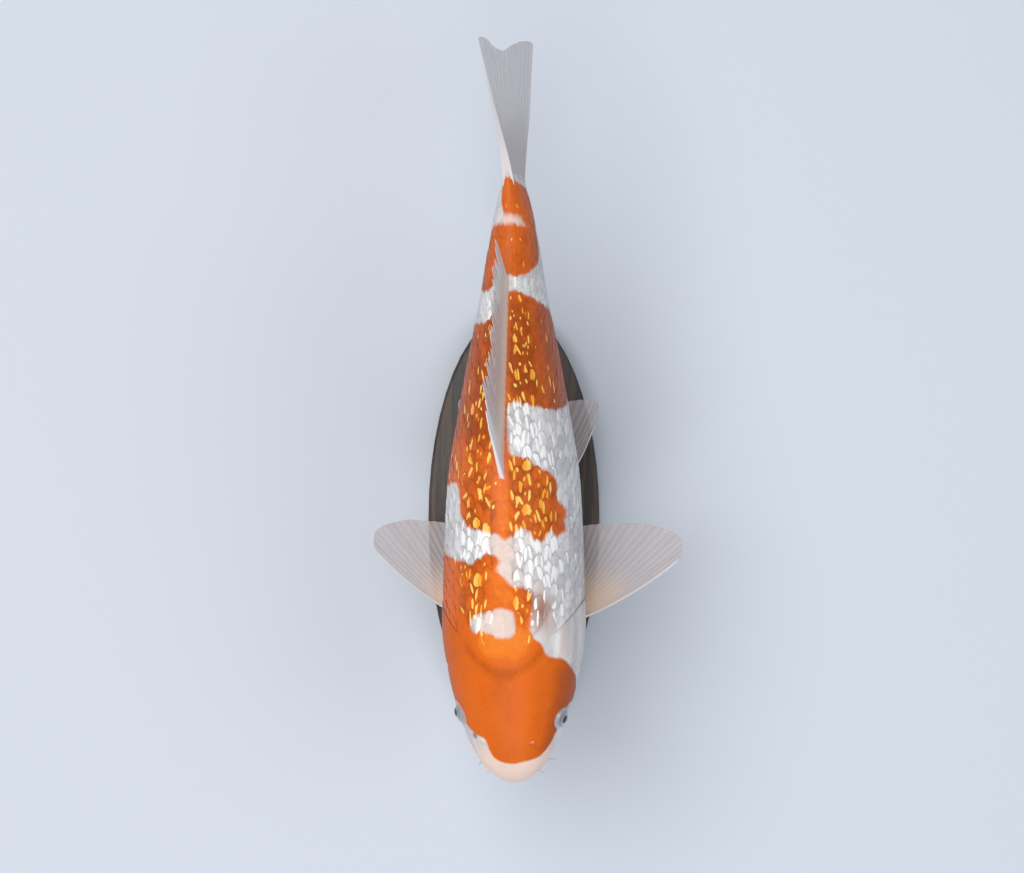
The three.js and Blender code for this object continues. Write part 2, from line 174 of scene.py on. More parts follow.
def on_body(station, angle, grow=0.0):
    """A point of the body. The angle, in radians, runs from the back, positive to the fish's left."""
    station, angle = np.broadcast_arrays(np.asarray(station, float), np.asarray(angle, float))
    above = np.cos(angle) > 0
    back = mix(HEAD_FULLNESS, BACK_FULLNESS, ease(station, 30, 120))
    fullness = np.where(above, back, BELLY_FULLNESS)
    height = np.where(above, back_height(station), belly_depth(station))
    past = np.clip((station - BODY_LENGTH) / FLESH_PAST_ROOT, 0, 1)
    taper = (1 - past) ** 1.2
    across = (half_width(station) + grow) * taper * signed_power(np.sin(angle), 2 / fullness)
    up = (height + grow) * signed_power(np.cos(angle), 2 / fullness)
    return np.stack([across, station, up], axis=-1)


def at_degrees(station, degrees):
    return on_body(station, np.radians(degrees))


def outward(station, angle):
    """The direction that the skin faces."""
    station = np.maximum(np.asarray(station, float), 0.25)
    angle = np.asarray(angle, float)
    along = on_body(station + 0.2, angle) - on_body(station - 0.2, angle)
    around = on_body(station, angle + 0.03) - on_body(station, angle - 0.03)
    normal = np.cross(around, along)
    normal /= np.maximum(np.linalg.norm(normal, axis=-1, keepdims=True), 1e-9)
    away = normal[..., 0] * np.sin(angle) + normal[..., 2] * np.cos(angle)
    return normal * np.where(away < 0, -1.0, 1.0)[..., None]


def place(points):
    """Carries points of the fish's own frame to their place on the stand, in metres."""
    x, y, z = points[..., 0], points[..., 1], points[..., 2]
    roll = np.radians(BODY_ROLL + TAIL_TWIST * ease(y, TWIST_FROM, TWIST_TO))
    past = np.maximum(0, (y - BODY_LENGTH) / (TOTAL_LENGTH - BODY_LENGTH))
    across = x * np.cos(roll) - z * np.sin(roll) - TAIL_BEND * past**1.5
    up = AXIS_HEIGHT + x * np.sin(roll) + z * np.cos(roll)
    return np.stack([across, y - BALANCE_STATION, up], axis=-1) * MM


# Where the head ends, by degrees from the back: a round nape on top, then the free edge of the gill cover.
NAPE_STATION, NAPE_ROUND, NAPE_TO = 61.3, 0.0122, 38.0
cover_edge = smooth_curve([
    (NAPE_TO, NAPE_STATION + NAPE_ROUND * NAPE_TO**2), (50, 86), (65, 92.5), (80, 97), (95, 99.5),
    (110, 98), (122, 91), (132, 84), (145, 73), (160, 65), (180, 62),
])
# The front edge of the gill cover, a crescent behind the cheek.
cheek_edge = smooth_curve([(40, 74), (55, 67), (80, 63.5), (105, 65), (125, 70), (138, 78)])


def gill_edge(degrees):
    """The station where the head ends, the same on both sides."""
    sides = np.abs(degrees)
    return np.where(sides < NAPE_TO, NAPE_STATION + NAPE_ROUND * sides**2, cover_edge(sides))


def nape_share(degrees):
    """1 over the nape and shoulders, where skin runs on into scales, and 0 at the gill cover's free edge."""
    return 1 - ease(np.abs(degrees), 34, 52)


def nape_groove(behind, degrees):
    """The soft crease that rounds the nape, deepest just ahead of where the head ends."""
    return (1 - ease(np.abs(degrees), 27, 44)) * hump(behind, -0.6, 3.4)


def nape_smooth(station):
    """How much broader the smooth strip along the back is at and behind the nape."""
    return hump(station, 98, 20)


def ridge_strip(station, degrees, fade=4.5):
    """1 on the smooth strip along the back, from the nape to the fin on the back."""
    edge = 1.5 + nape_smooth(station) * np.where(degrees > 0, 5.5, 10)
    return (1 - ease(np.abs(degrees), edge, edge + fade)) * window(station, 60, 78, 160, 172)


def shoulder(degrees):
    """1 beside the dome of the nape, where scales start farthest forward."""
    return hump(np.abs(degrees), 19, 9)


def mouth_level(station):
    return MOUTH_LEVEL - MOUTH_DROP * np.clip(station / MOUTH_CORNER, 0, 1) ** 1.3


def eye_centre(name):
    angle = np.radians(SIDES[name] * EYE_ANGLE)
    station = EYE_STATION[name]
    axis = outward(station, angle)
    return on_body(station, angle) - EYE_DEPTH * axis, axis


# ---- Markings ----

# Each marking is a closed outline through points of (station, degrees from the back), laid one over another.
MARKINGS = [
    # The cap over the head, running on over the right shoulder and flank.
    ("orange", [
        (11.3, 0), (12.6, 21), (15.3, 47), (21.4, 61), (29, 65), (36, 66), (43, 78), (46, 98), (55, 86),
        (62, 69), (68, 53), (70, 36), (77, 29), (81, 21), (90, 21), (97, 23), (103, 23), (106, 16),
        (106, 10), (108, 5), (111, 1), (116, -5), (120, -2), (124, -8), (122, -18), (118.5, -26),
        (119.5, -40), (122, -60), (125, -94), (116, -112), (80, -114), (56, -108), (45, -92), (38, -60),
        (32, -56), (27, -41), (24.6, -29), (17.8, -27), (13.5, -19.5),
    ]),
    # The island on the nape.
    ("white", [
        (80.5, 2), (82, -14), (83, -26), (89, -27), (93, -16), (94.5, -3), (94, 4), (91.5, 8), (84, 8),
    ]),
    # The middle and rear patches, joined along the back and the right flank.
    ("orange", [
        (134, -5), (131, 2), (134, 9), (137.5, 18), (132, 24), (129.5, 31), (132, 37), (136.5, 41),
        (133, 46), (134, 54), (138, 61), (141, 54), (143, 60), (148, 58), (152, 48), (160, 51), (166, 44),
        (170, 31), (174, 20), (177, 6), (190, 4), (203, 5), (203, 18), (200.5, 40), (200, 66), (206, 100),
        (222, 106), (244, 104), (253, 88), (255.5, 68), (259, 46), (262, 22), (263, 2), (258, -12),
        (250, -24), (246, -40), (245, -80), (236, -104), (200, -110), (168, -104), (159, -78), (161, -50),
        (152, -43), (143, -40), (137, -31), (135.5, -16),
    ]),
    # A spot low on the right of the stalk, running into the saddle behind it.
    ("orange", [
        (263, -60), (264, -36), (270, -24), (279, -22), (284, -34), (285, -70), (278, -92), (267, -90),
    ]),
    # The saddle on the stalk.
    ("orange", [
        (271, 8), (273, -8), (280, -20), (284, -50), (289, -66), (297, -60), (299, -20), (299, 8),
        (298, 32), (298, 60), (297, 84), (289, 84), (280, 73), (274, 48), (271, 24),
    ]),
    # The last patch, at the tail's root.
    ("orange", [
        (304.5, -16), (303.5, 8), (302.5, 30), (298, 47), (297, 82), (304, 98), (318, 96), (322, 40),
        (324, 0), (322, -34), (313, -32),
    ]),
]
MM_PER_DEGREE = 0.55  # of girth, on most of the body
MARKING_REACH = 3.0  # millimetres each side of an edge that the marking attribute spans
FAR_OUTSIDE = 30.0  # millimetres, beyond any marking's reach


def rounded_outline(points, steps=4):
    """The points of a closed smooth curve through the given ones."""
    given = np.array(points, float)
    rounded = []
    for i in range(len(given)):
        a, b, c, d = given[i - 1], given[i], given[(i + 1) % len(given)], given[(i + 2) % len(given)]
        for t in np.arange(steps) / steps:
            bend = (c - a) * t + (2 * a - 5 * b + 4 * c - d) * t**2 + (3 * b - a - 3 * c + d) * t**3
            rounded.append(b + 0.5 * bend)
    return np.array(rounded) * (1, MM_PER_DEGREE)


def inside_outline(x, y, outline):
    """Distance to a closed outline, positive inside it."""
    nearest = np.full(x.shape, np.inf)
    inside = np.zeros(x.shape, bool)
    for (x0, y0), (x1, y1) in zip(np.roll(outline, 1, axis=0), outline):
        run, rise = x1 - x0, y1 - y0
        t = np.clip(((x - x0) * run + (y - y0) * rise) / (run * run + rise * rise + 1e-12), 0, 1)
        nearest = np.minimum(nearest, (x - x0 - t * run) ** 2 + (y - y0 - t * rise) ** 2)
        crosses = (y0 > y) != (y1 > y)
        crosses &= x < run * (y - y0) / (rise if abs(rise) > 1e-12 else 1e-12) + x0
        inside ^= crosses
    return np.where(inside, 1, -1) * np.sqrt(nearest)


def marking_at(station, degrees):
    """How far inside the orange a place is, in millimetres, and below 0 on white."""
    x = np.ravel(station)
    y = np.ravel(degrees) * MM_PER_DEGREE
    depth = np.full(x.shape, -FAR_OUTSIDE)
    for colour, points in MARKINGS:
        there = inside_outline(x, y, rounded_outline(points))
        depth = np.maximum(depth, there) if colour == "orange" else np.minimum(depth, -there)
    softer_before_tail = 1 - 0.6 * hump(station, 303, 6)
    return depth.reshape(np.shape(station)) * softer_before_tail


def marking_share(depth):
    return np.clip(depth / (2 * MARKING_REACH) + 0.5, 0, 1)


def signed_degrees(angle):
    return (np.degrees(angle) + 180) % 360 - 180


# ---- Meshes ----

MERGE_DISTANCE = 1e-6  # metres, within which points become one


def deselect():
    if bpy.context.object and bpy.context.object.mode != "OBJECT":
        bpy.ops.object.mode_set(mode="OBJECT")
    bpy.ops.object.select_all(action="DESELECT")


def select_only(piece):
    deselect()
    piece.select_set(True)
    bpy.context.view_layer.objects.active = piece


def sheet(name, columns, rows):
    """A new flat sheet of faces, and the place of each of its points as shares of its two sides."""
    deselect()
    bpy.ops.mesh.primitive_grid_add(x_subdivisions=columns, y_subdivisions=rows, size=2)
    piece = bpy.context.object
    piece.name = name
    piece.data.name = name
    drop_maps(piece)
    points = read_points(piece)
    return piece, (points[:, 0] + 1) / 2, (points[:, 1] + 1) / 2


def read_points(piece):
    points = np.empty(len(piece.data.vertices) * 3)
    piece.data.vertices.foreach_get("co", points)
    return points.reshape(-1, 3)


def set_points(piece, points):
    """Moves a piece's points to places in the fish's own frame."""
    piece.data.vertices.foreach_set("co", np.ascontiguousarray(place(points), float).ravel())
    piece.data.update()


def set_attributes(piece, **values):
    """Each value is one number for each point of the piece, for each of its copies, or for all of it."""
    count = len(piece.data.vertices)
    for name, numbers in values.items():
        numbers = np.ravel(np.asarray(numbers, float))
        attribute = piece.data.attributes.new(name, "FLOAT", "POINT")
        attribute.data.foreach_set("value", np.repeat(numbers, count // len(numbers)))


def set_map(piece, name, u, v):
    """A UV map from one place for each point."""
    corners = np.empty(len(piece.data.loops), int)
    piece.data.loops.foreach_get("vertex_index", corners)
    layer = piece.data.uv_layers.new(name=name)
    layer.data.foreach_set("uv", np.stack([np.ravel(u)[corners], np.ravel(v)[corners]], axis=-1).ravel())


def drop_maps(piece):
    while piece.data.uv_layers:
        piece.data.uv_layers.remove(piece.data.uv_layers[0])


def close_up(piece):
    """Merges doubles and turns the faces outwards."""
    select_only(piece)
    bpy.ops.object.mode_set(mode="EDIT")
    bpy.ops.mesh.select_all(action="SELECT")
    bpy.ops.mesh.remove_doubles(threshold=MERGE_DISTANCE)
    bpy.ops.mesh.dissolve_degenerate(threshold=MERGE_DISTANCE)
    bpy.ops.mesh.select_all(action="SELECT")
    bpy.ops.mesh.normals_make_consistent(inside=False)
    bpy.ops.object.mode_set(mode="OBJECT")


def smooth_faces(piece, degrees=None):
    select_only(piece)
    if degrees is None:
        bpy.ops.object.shade_smooth()
    else:
        bpy.ops.object.shade_smooth_by_angle(angle=math.radians(degrees))


def finish_piece(piece, material, nodes=()):
    piece.data.materials.clear()
    piece.data.materials.append(material)
    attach(piece, "root")
    if nodes:
        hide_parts(*nodes)


# ---- Materials ----


class Value:
    """A node's output. Arithmetic with it adds further nodes to its shader."""

    def __init__(self, shader, socket):
        self.shader = shader
        self.socket = socket

    def __add__(self, other):
        return self.shader.math("ADD", self, other)

    def __sub__(self, other):
        return self.shader.math("SUBTRACT", self, other)

    def __rsub__(self, other):
        return self.shader.math("SUBTRACT", other, self)

    def __mul__(self, other):
        return self.shader.math("MULTIPLY", self, other)

    __radd__ = __add__
    __rmul__ = __mul__

    def size(self):
        return self.shader.math("ABSOLUTE", self)

    def sine(self):
        return self.shader.math("SINE", self)

    def ease(self, low, high, start=0.0, end=1.0):
        """From start at low to end at high, which may be the smaller one."""
        inputs = {"Value": self, "From Min": low, "From Max": high, "To Min": start, "To Max": end}
        return self.shader.add("MapRange", 0, inputs, interpolation_type="SMOOTHSTEP")

    def window(self, outer_low, inner_low, inner_high, outer_high):
        return self.ease(outer_low, inner_low) * self.ease(outer_high, inner_high)


class Shader:
    """A material and short ways to add nodes to it. Inputs are numbers, colours or values."""

    def __init__(self, name, **surface):
        self.material = bpy.data.materials.new(name)
        self.material.use_nodes = True
        self.nodes = self.material.node_tree.nodes
        self.links = self.material.node_tree.links
        self.surface = self.nodes["Principled BSDF"]
        self.set(**surface)

    def feed(self, socket, value):
        if isinstance(value, Value):
            self.links.new(value.socket, socket)
        elif hasattr(value, "__len__") and len(value) == 3 and socket.type == "RGBA":
            socket.default_value = (*value, 1)
        else:
            socket.default_value = value

    def set(self, **surface):
        """Inputs of the surface, with underscores for the spaces in their names."""
        for name, value in surface.items():
            self.feed(self.surface.inputs[name.replace("_", " ")], value)

    def add(self, kind, output=0, inputs=(), **settings):
        node = self.nodes.new("ShaderNode" + kind)
        for key, value in settings.items():
            setattr(node, key, value)
        for key, value in dict(inputs).items():
            self.feed(node.inputs[key], value)
        return Value(self, node.outputs[output])

    def attribute(self, name):
        return self.add("Attribute", "Fac", attribute_name=name)

    def map(self, name):
        return self.add("UVMap", uv_map=name)

    def noise(self, scale, detail=2.0, roughness=0.5, vector=None, stretch=None):
        vector = vector or self.add("TexCoord", "Object")
        if stretch:
            vector = self.add("Mapping", 0, {"Vector": vector, "Scale": stretch})
        inputs = {"Vector": vector, "Scale": scale, "Detail": detail, "Roughness": roughness}
        return self.add("TexNoise", "Fac", inputs)

    def math(self, operation, a, b=0.0, c=0.0):
        return self.add("Math", 0, {0: a, 1: b, 2: c}, operation=operation)

    def length(self, a, b):
        return self.math("SQRT", a * a + b * b)

    def blend(self, share, a, b, way="MIX"):
        return self.add("Mix", 2, {0: share, 6: a, 7: b}, data_type="RGBA", blend_type=way)

    def shade(self, share, colour, by):
        """The colour darkened by another one."""
        return self.blend(share, colour, self.blend(1.0, colour, by, "MULTIPLY"))

    def split(self, vector):
        x = self.add("SeparateXYZ", 0, {0: vector})
        return x, Value(self, x.socket.node.outputs[1])

    def join(self, x, y):
        return self.add("CombineXYZ", 0, {0: x, 1: y})

    def bump(self, height, distance, strength):
        self.set(Normal=self.add("Bump", 0, {"Height": height, "Distance": distance, "Strength": strength}))


def marking_mask(shader, wobble, softness):
    """1 on orange and 0 on white, with an edge that wanders a little."""
    drift = shader.noise(420, 3) * (0.6 * wobble) + shader.noise(110, 2) * (0.4 * wobble) - 0.5 * wobble
    return (shader.attribute("marking") + drift).ease(0.5 - softness, 0.5 + softness)


def orange_at(shader, finish, lightness):
    """The orange from its darkest at 0 to its most glowing at 1."""
    orange = shader.blend(lightness.ease(0.0, 0.66), finish.orange_deep, finish.orange_bright)
    return shader.blend(lightness.ease(0.66, 1.0), orange, finish.orange_glow)


def tail_root(finish):
    """The colour that the tail fin has at its root, where flesh runs out over it."""
    return [mix(ray, edge, 0.45) for ray, edge in zip(finish.fin_ray, finish.fin_edge)]


def skin_material(finish):
    shader = Shader("koi_skin", Specular_IOR_Level=0.14, Coat_Weight=0.03, Coat_Roughness=0.2)
    mottle = shader.noise(160, 5, 0.6)
    cloud = shader.noise(1.0, 3, 0.55, stretch=(80, 40, 80))
    speckle = shader.noise(850, 3, 0.6)
    # The tone attribute brings painted shade as well as the orange's own tone.
    lightness = shader.attribute("tone") + mottle * 0.22 + cloud * 0.28 + speckle * 0.3 - 0.44
    silk = shader.noise(1.0, 3, 0.6, stretch=(110, 30, 110))
    pale = shader.blend(silk.ease(0.25, 0.75), finish.white_cool, finish.white)
    pale = shader.blend(shader.attribute("blush"), pale, finish.blush)
    # Painted highlight: a pale streak of silver down each gill cover.
    pale = shader.blend(shader.attribute("gleam") * 0.6, pale, finish.silver_highlight)
    pale = shader.blend(shader.attribute("dusk"), pale, finish.dusk)
    colour = shader.blend(marking_mask(shader, 0.2, 0.16), pale, orange_at(shader, finish, lightness))
    # Painted shade: where skin lies deep between scales and along the gill cover's free edge, then in the
    # mouth and nostrils.
    colour = shader.shade(shader.attribute("bed"), colour, finish.bed)
    colour = shader.shade(shader.attribute("hollow"), colour, finish.hollow)
    colour = shader.blend(shader.attribute("finward"), colour, tail_root(finish))
    shader.set(Base_Color=colour, Roughness=mottle.ease(0.3, 0.7, 0.4, 0.5))
    shader.bump(shader.noise(700, 4, 0.6) + mottle * 1.2, 0.00022, 0.6)
    return shader.material


def glint_at(shader, name, grain, mask):
    """1 inside a scale's painted highlight, which is larger on white, and how far across the patch."""
    across, along = shader.split(shader.map(name))
    away = shader.length(across, along)
    # Of a patch that is an arc, only a line along its edge is bright, and not on all sides.
    line = (away - 0.85).size() * 3.2 + 0.72 + across.ease(0.2, -0.5) * 1.5
    arc = shader.attribute("arc_" + name)
    away = away * (1.0 - arc) + line * arc
    return (away + grain * 0.9 + mask * 0.4 - 0.85).ease(1.0, 0.8), across


def scale_material(finish):
    shader = Shader("koi_scales", Specular_IOR_Level=0.2, Coat_Weight=0.05, Coat_Roughness=0.12)
    across, along = [coordinate * 2 - 1 for coordinate in shader.split(shader.map("lay"))]
    radius = shader.length(across, along)
    chance = shader.attribute("chance")
    mottle = shader.noise(300, 4, 0.6)
    cloud = shader.noise(55, 3, 0.55)
    grain = shader.noise(620, 2, 0.55)

    # Each scale is darker at its rim, partly the net of its own colour and partly painted shade between
    # scales, and towards its hidden root, which is painted shade under the scale before it; both most where
    # scales sparkle.
    net_and_shade_strength = shader.attribute("net")
    net = shader.math("MAXIMUM", radius.ease(0.78, 0.98), along.ease(0.2, -0.35)) * net_and_shade_strength
    unevenness = (chance - 0.5) * net_and_shade_strength.ease(0.05, 0.2, 0.08, 0.3)
    # The tone attribute brings painted shade as well as the orange's own tone.
    lightness = shader.attribute("tone") + unevenness + mottle * 0.5 + cloud * 0.5 - 0.47
    lightness = lightness - shader.attribute("zone") * 0.26
    orange = shader.blend(net, orange_at(shader, finish, lightness), finish.orange_net_and_shade)
    pearl = (chance * 0.5 + mottle * 1.3 - 0.35).ease(0.1, 0.9)
    pale = shader.blend(pearl, finish.white_cool, finish.white)
    pale = shader.blend(shader.attribute("blush") * 0.8, pale, finish.blush)
    pale = shader.blend(shader.math("MINIMUM", net * 1.5, 0.6), pale, finish.white_net_and_shade)
    pale = shader.blend(shader.attribute("finward"), pale, tail_root(finish))
    pale = shader.blend(shader.attribute("dusk"), pale, finish.dusk)
    mask = marking_mask(shader, 0.16, 0.18)
    colour = shader.blend(mask, pale, orange)

    # The line along each side: a short dark pore on each scale of one row.
    pore = across.size().ease(0.16, 0.06) * (along - 0.35).size().ease(0.4, 0.25)
    pore = pore * shader.attribute("pore") * 0.5
    colour = shader.blend(pore, colour, shader.blend(mask, finish.white_net_and_shade, finish.orange_net_and_shade))

    # Painted highlights: patches of light painted in gold and silver, one larger and two smaller on each
    # scale that sparkles. The reflective scales are real; the light they catch is painted.
    light, aside = glint_at(shader, "glint", grain, mask)
    for name in ("speck", "dash"):
        light = shader.math("MAXIMUM", light, glint_at(shader, name, grain, mask)[0])
    light = light * radius.ease(0.96, 0.86) * along.ease(-0.35, -0.1)
    gold_highlight = shader.blend((aside + grain).ease(0.1, 1.1), finish.gold_highlight, finish.bright_gold_highlight)
    colour = shader.blend(light, colour, shader.blend(mask, finish.silver_highlight, gold_highlight))
    shader.set(Base_Color=colour, Roughness=mottle * 0.08 + 0.34 - light * 0.14)
    rings = (radius * 46.0).sine()
    fan = shader.noise(9, 2, 0.5, shader.map("lay"), (1.6, 0.25, 1))
    shader.bump(rings * 0.2 + fan + mottle + light * 0.8, 0.00011, 0.5)
    return shader.material


def fin_material(finish):
    shader = Shader("koi_fin", Roughness=0.42, Specular_IOR_Level=0.3, Coat_Weight=0.08, Coat_Roughness=0.2)
    ray, reach, lead = [shader.attribute(name) for name in ("ray", "reach", "lead")]
    share, out = shader.split(shader.map("fin"))
    streak = shader.noise(2.0, 2, 0.5, shader.join(share * 36.0, out * 1.6))
    joints = (out * 190.0).sine().ease(0.2, 0.9)
    bone = (ray + streak * 0.4 - joints * 0.05 - 0.2).ease(0.0, 1.0)
    colour = shader.blend(bone, finish.fin_web, finish.fin_ray)
    pale = shader.blend(bone * 0.5 + 0.3, finish.fin_ray, finish.fin_edge)
    colour = shader.blend(shader.attribute("pale"), colour, pale)
    colour = shader.blend(reach.ease(0.66, 0.08) * shader.attribute("warmth"), colour, finish.fin_root)
    colour = shader.blend(lead, colour, finish.fin_edge)
    cover = shader.attribute("body") + ray * 0.1 + reach.ease(0.65, 0.0) * 0.5 + streak * 0.12 + lead * 0.6
    shader.set(Base_Color=colour, Alpha=shader.math("MINIMUM", cover, 1.0))
    shader.bump(streak + shader.noise(900, 2) * 0.3, 0.00008, 0.4)
    return shader.material


def barbel_material(finish):
    shader = Shader("koi_barbel", Roughness=0.35, Coat_Weight=0.3, Coat_Roughness=0.1)
    mottle = shader.noise(900, 3)
    colour = shader.blend(mottle.ease(0.3, 0.7), finish.white_cool, finish.white)
    warm = shader.attribute("reach").ease(0.6, 0.0, 0.15, 0.6)
    shader.set(Base_Color=shader.blend(warm, colour, finish.fin_root))
    shader.bump(mottle, 0.00008, 0.4)
    return shader.material


def eye_material(finish):
    shader = Shader("koi_eye", Roughness=0.16, Coat_Weight=0.8, Coat_Roughness=0.03)
    away = shader.attribute("from_axis")
    around, _ = shader.split(shader.map("iris"))
    fibre = shader.noise(2.0, 3, 0.6, shader.join(around * 40.0, away * 0.8))
    iris = shader.blend(fibre.ease(0.25, 0.75), finish.iris_deep, finish.iris)
    flesh = shader.blend(shader.noise(600, 3).ease(0.35, 0.65), finish.iris, finish.eye_white)
    colour = shader.blend(away.ease(IRIS_EDGE - 0.2, IRIS_EDGE + 0.6), iris, flesh)
    limbus = away.window(IRIS_EDGE - 0.6, IRIS_EDGE, IRIS_EDGE, IRIS_EDGE + 0.6)
    colour = shader.blend(limbus * 0.3, colour, finish.iris_deep)
    ring = away.window(PUPIL_EDGE, PUPIL_EDGE + 0.15, PUPIL_EDGE + 0.3, PUPIL_EDGE + 0.55)
    colour = shader.blend(ring * 0.8, colour, finish.iris_ring)
    colour = shader.blend(away.ease(PUPIL_EDGE + 0.1, PUPIL_EDGE - 0.1), colour, finish.pupil)
    shine = away.window(PUPIL_EDGE, PUPIL_EDGE + 0.3, IRIS_EDGE - 0.3, IRIS_EDGE + 0.5)
    shader.set(Base_Color=colour, Metallic=shine * 0.25)
    return shader.material


def wood_material(finish):
    shader = Shader("stand_wood", Coat_Weight=0.35, Coat_Roughness=0.25)
    figure = (shader.noise(2.2, 4, 0.6, stretch=(60, 4, 60)) * 26.0).sine()
    fine = shader.noise(14, 5, 0.65, stretch=(60, 2.5, 60))
    share = (figure * 0.25 + fine * 0.7).ease(0.1, 0.75)
    colour = shader.blend(share, finish.wood_dark, finish.wood_light)
    shader.set(Base_Color=colour, Roughness=fine.ease(0.3, 0.7, 0.36, 0.52))
    shader.bump(fine, 0.00015, 0.5)
    return shader.material


def steel_material(finish):
    shader = Shader("stand_steel", Metallic=1.0)
    brushed = shader.noise(30, 4, 0.6, stretch=(30, 30, 600))
    share = (brushed * 0.6 + shader.noise(60, 2) * 0.4).ease(0.3, 0.7)
    colour = shader.blend(share, finish.steel_dark, finish.steel)
    shader.set(Base_Color=colour, Roughness=brushed.ease(0.3, 0.7, 0.24, 0.4))
    shader.bump(brushed, 0.00003, 0.4)
    return shader.material


def floor_material(finish):
    shader = Shader("studio_floor", Roughness=0.75)
    darker = [0.97 * part for part in finish.floor]
    shader.set(Base_Color=shader.blend(shader.noise(1.5, 3), finish.floor, darker))
    return shader.material


# ---- Settings ----


def colour_setting(name, description, default):
    return FloatVectorProperty(
        name=name, description=description, default=default, size=3, subtype="COLOR", min=0, max=1
    )


def length_setting(name, description, default, low, high):
    """A length, with its default and limits in millimetres."""
    return FloatProperty(
        name=name, description=description, default=default * MM, min=low * MM, max=high * MM,
        subtype="DISTANCE", unit="LENGTH",
    )


def power_setting(name, description, default):
    return FloatProperty(name=name, description=description, default=default, min=0, unit="POWER")


class KoiSkinSettings(bpy.types.PropertyGroup):
    around: IntProperty(name="Faces Around", description="Faces round the body", default=256, min=64, max=320)
    head_rings: IntProperty(name="Head Rings", description="Rings of faces on the head", default=172, min=60)
    trunk_rings: IntProperty(name="Trunk Rings", description="Rings of faces behind it", default=100, min=40)
    scale_bed: length_setting("Scale Bed", "Depth of the skin under the scales' surface", 1.0, 0, 3)


class KoiScaleSettings(bpy.types.PropertyGroup):
    rows: IntProperty(name="Rows", description="Rows of scales on each side", default=24, min=8, max=30)
    spacing: length_setting("Spacing", "From one scale to the next along the middle of the body", 7.6, 4, 12)
    spacing_at_tail: length_setting(
        "Spacing at Tail", "From one scale to the next at the tail's root", 4.4, 2, 8
    )
    tilt: FloatProperty(
        name="Tilt", description="Rise of a scale for its length", default=0.044, min=0, max=0.2
    )
    sparkle: FloatProperty(
        name="Sparkle", description="Share of the back's scales that sparkle", default=0.8, min=0, max=1,
        subtype="FACTOR",
    )


class KoiFinSettings(bpy.types.PropertyGroup):
    web: length_setting("Web Thickness", "Thickness of a fin between its rays", 0.3, 0.1, 1)
    ridge: length_setting("Ray Height", "How far a ray stands out on each side of the web", 0.16, 0, 1)
    columns_per_ray: IntProperty(
        name="Columns per Ray", description="Faces across a ray", default=8, min=4, max=12
    )


class KoiEyeSettings(bpy.types.PropertyGroup):
    lens_bulge: length_setting("Lens Bulge", "How far the lens stands out of the iris", 0.3, 0, 1)


class KoiFinishSettings(bpy.types.PropertyGroup):
    orange_glow: colour_setting("Glowing Orange", "Orange of the ridge and nape", (0.93, 0.235, 0.02))
    orange_bright: colour_setting("Bright Orange", "Orange of the head", (0.80, 0.15, 0.010))
    orange_deep: colour_setting("Deep Orange", "Orange in its darker places", (0.40, 0.070, 0.006))
    # The net colours darken the scales' rims, partly as their own net and partly as painted shade, and their
    # roots as painted shade.
    orange_net_and_shade: colour_setting("Orange Net", "Lines between orange scales", (0.22, 0.045, 0.004))
    white: colour_setting("White", "Brightest white of skin and scales", (0.82, 0.80, 0.80))
    white_cool: colour_setting("Cool White", "White in its greyer places", (0.56, 0.545, 0.56))
    white_net_and_shade: colour_setting("White Net", "Lines between white scales", (0.36, 0.35, 0.39))
    blush: colour_setting("Blush", "Warm white of lips, nape and ridge", (0.96, 0.69, 0.56))
    dusk: colour_setting("Dusk", "Brown of a thin place in the white", (0.42, 0.20, 0.13))
    bed: colour_setting("Bed", "Shade of the skin between the scales", (0.46, 0.42, 0.44))
    hollow: colour_setting("Hollow", "Shade in the mouth and nostrils", (0.42, 0.28, 0.24))
    # Gold and silver are painted highlights: the light that sparkling scales catch, and silver also the gill
    # covers' painted highlight.
    gold_highlight: colour_setting("Gold", "Sparkle on orange scales", (0.95, 0.40, 0.025))
    bright_gold_highlight: colour_setting("Bright Gold", "Brightest sparkle on orange scales", (1.0, 0.66, 0.15))
    silver_highlight: colour_setting("Silver", "Sparkle on white scales", (1.0, 1.0, 1.0))
    fin_web: colour_setting("Fin Web", "Clear web between the rays", (0.47, 0.415, 0.425))
    fin_ray: colour_setting("Fin Ray", "Rays of the fins", (0.60, 0.53, 0.53))
    fin_edge: colour_setting("Fin Edge", "Leading edge of a fin", (0.80, 0.77, 0.79))
    fin_root: colour_setting("Fin Root", "Warm root of the side fins", (0.84, 0.61, 0.44))
    iris: colour_setting("Iris", "Silver grey of the iris", (0.34, 0.33, 0.37))
    iris_deep: colour_setting("Iris Shade", "Darker fibres of the iris", (0.24, 0.235, 0.26))
    iris_ring: colour_setting("Iris Ring", "Thin ring round the pupil", (0.46, 0.45, 0.47))
    eye_white: colour_setting("Eye White", "Flesh of the eyeball round the iris", (0.42, 0.40, 0.44))
    pupil: colour_setting("Pupil", "Pupil", (0.008, 0.009, 0.012))
    wood_light: colour_setting("Light Grain", "Lighter grain of the base", (0.075, 0.045, 0.030))
    wood_dark: colour_setting("Dark Grain", "Darker grain of the base", (0.022, 0.013, 0.010))
    steel: colour_setting("Steel", "Rods", (0.70, 0.70, 0.71))
    steel_dark: colour_setting("Steel Shade", "Brushing of the rods", (0.48, 0.48, 0.50))
    floor: colour_setting("Floor", "Studio floor", (0.66, 0.71, 0.79))


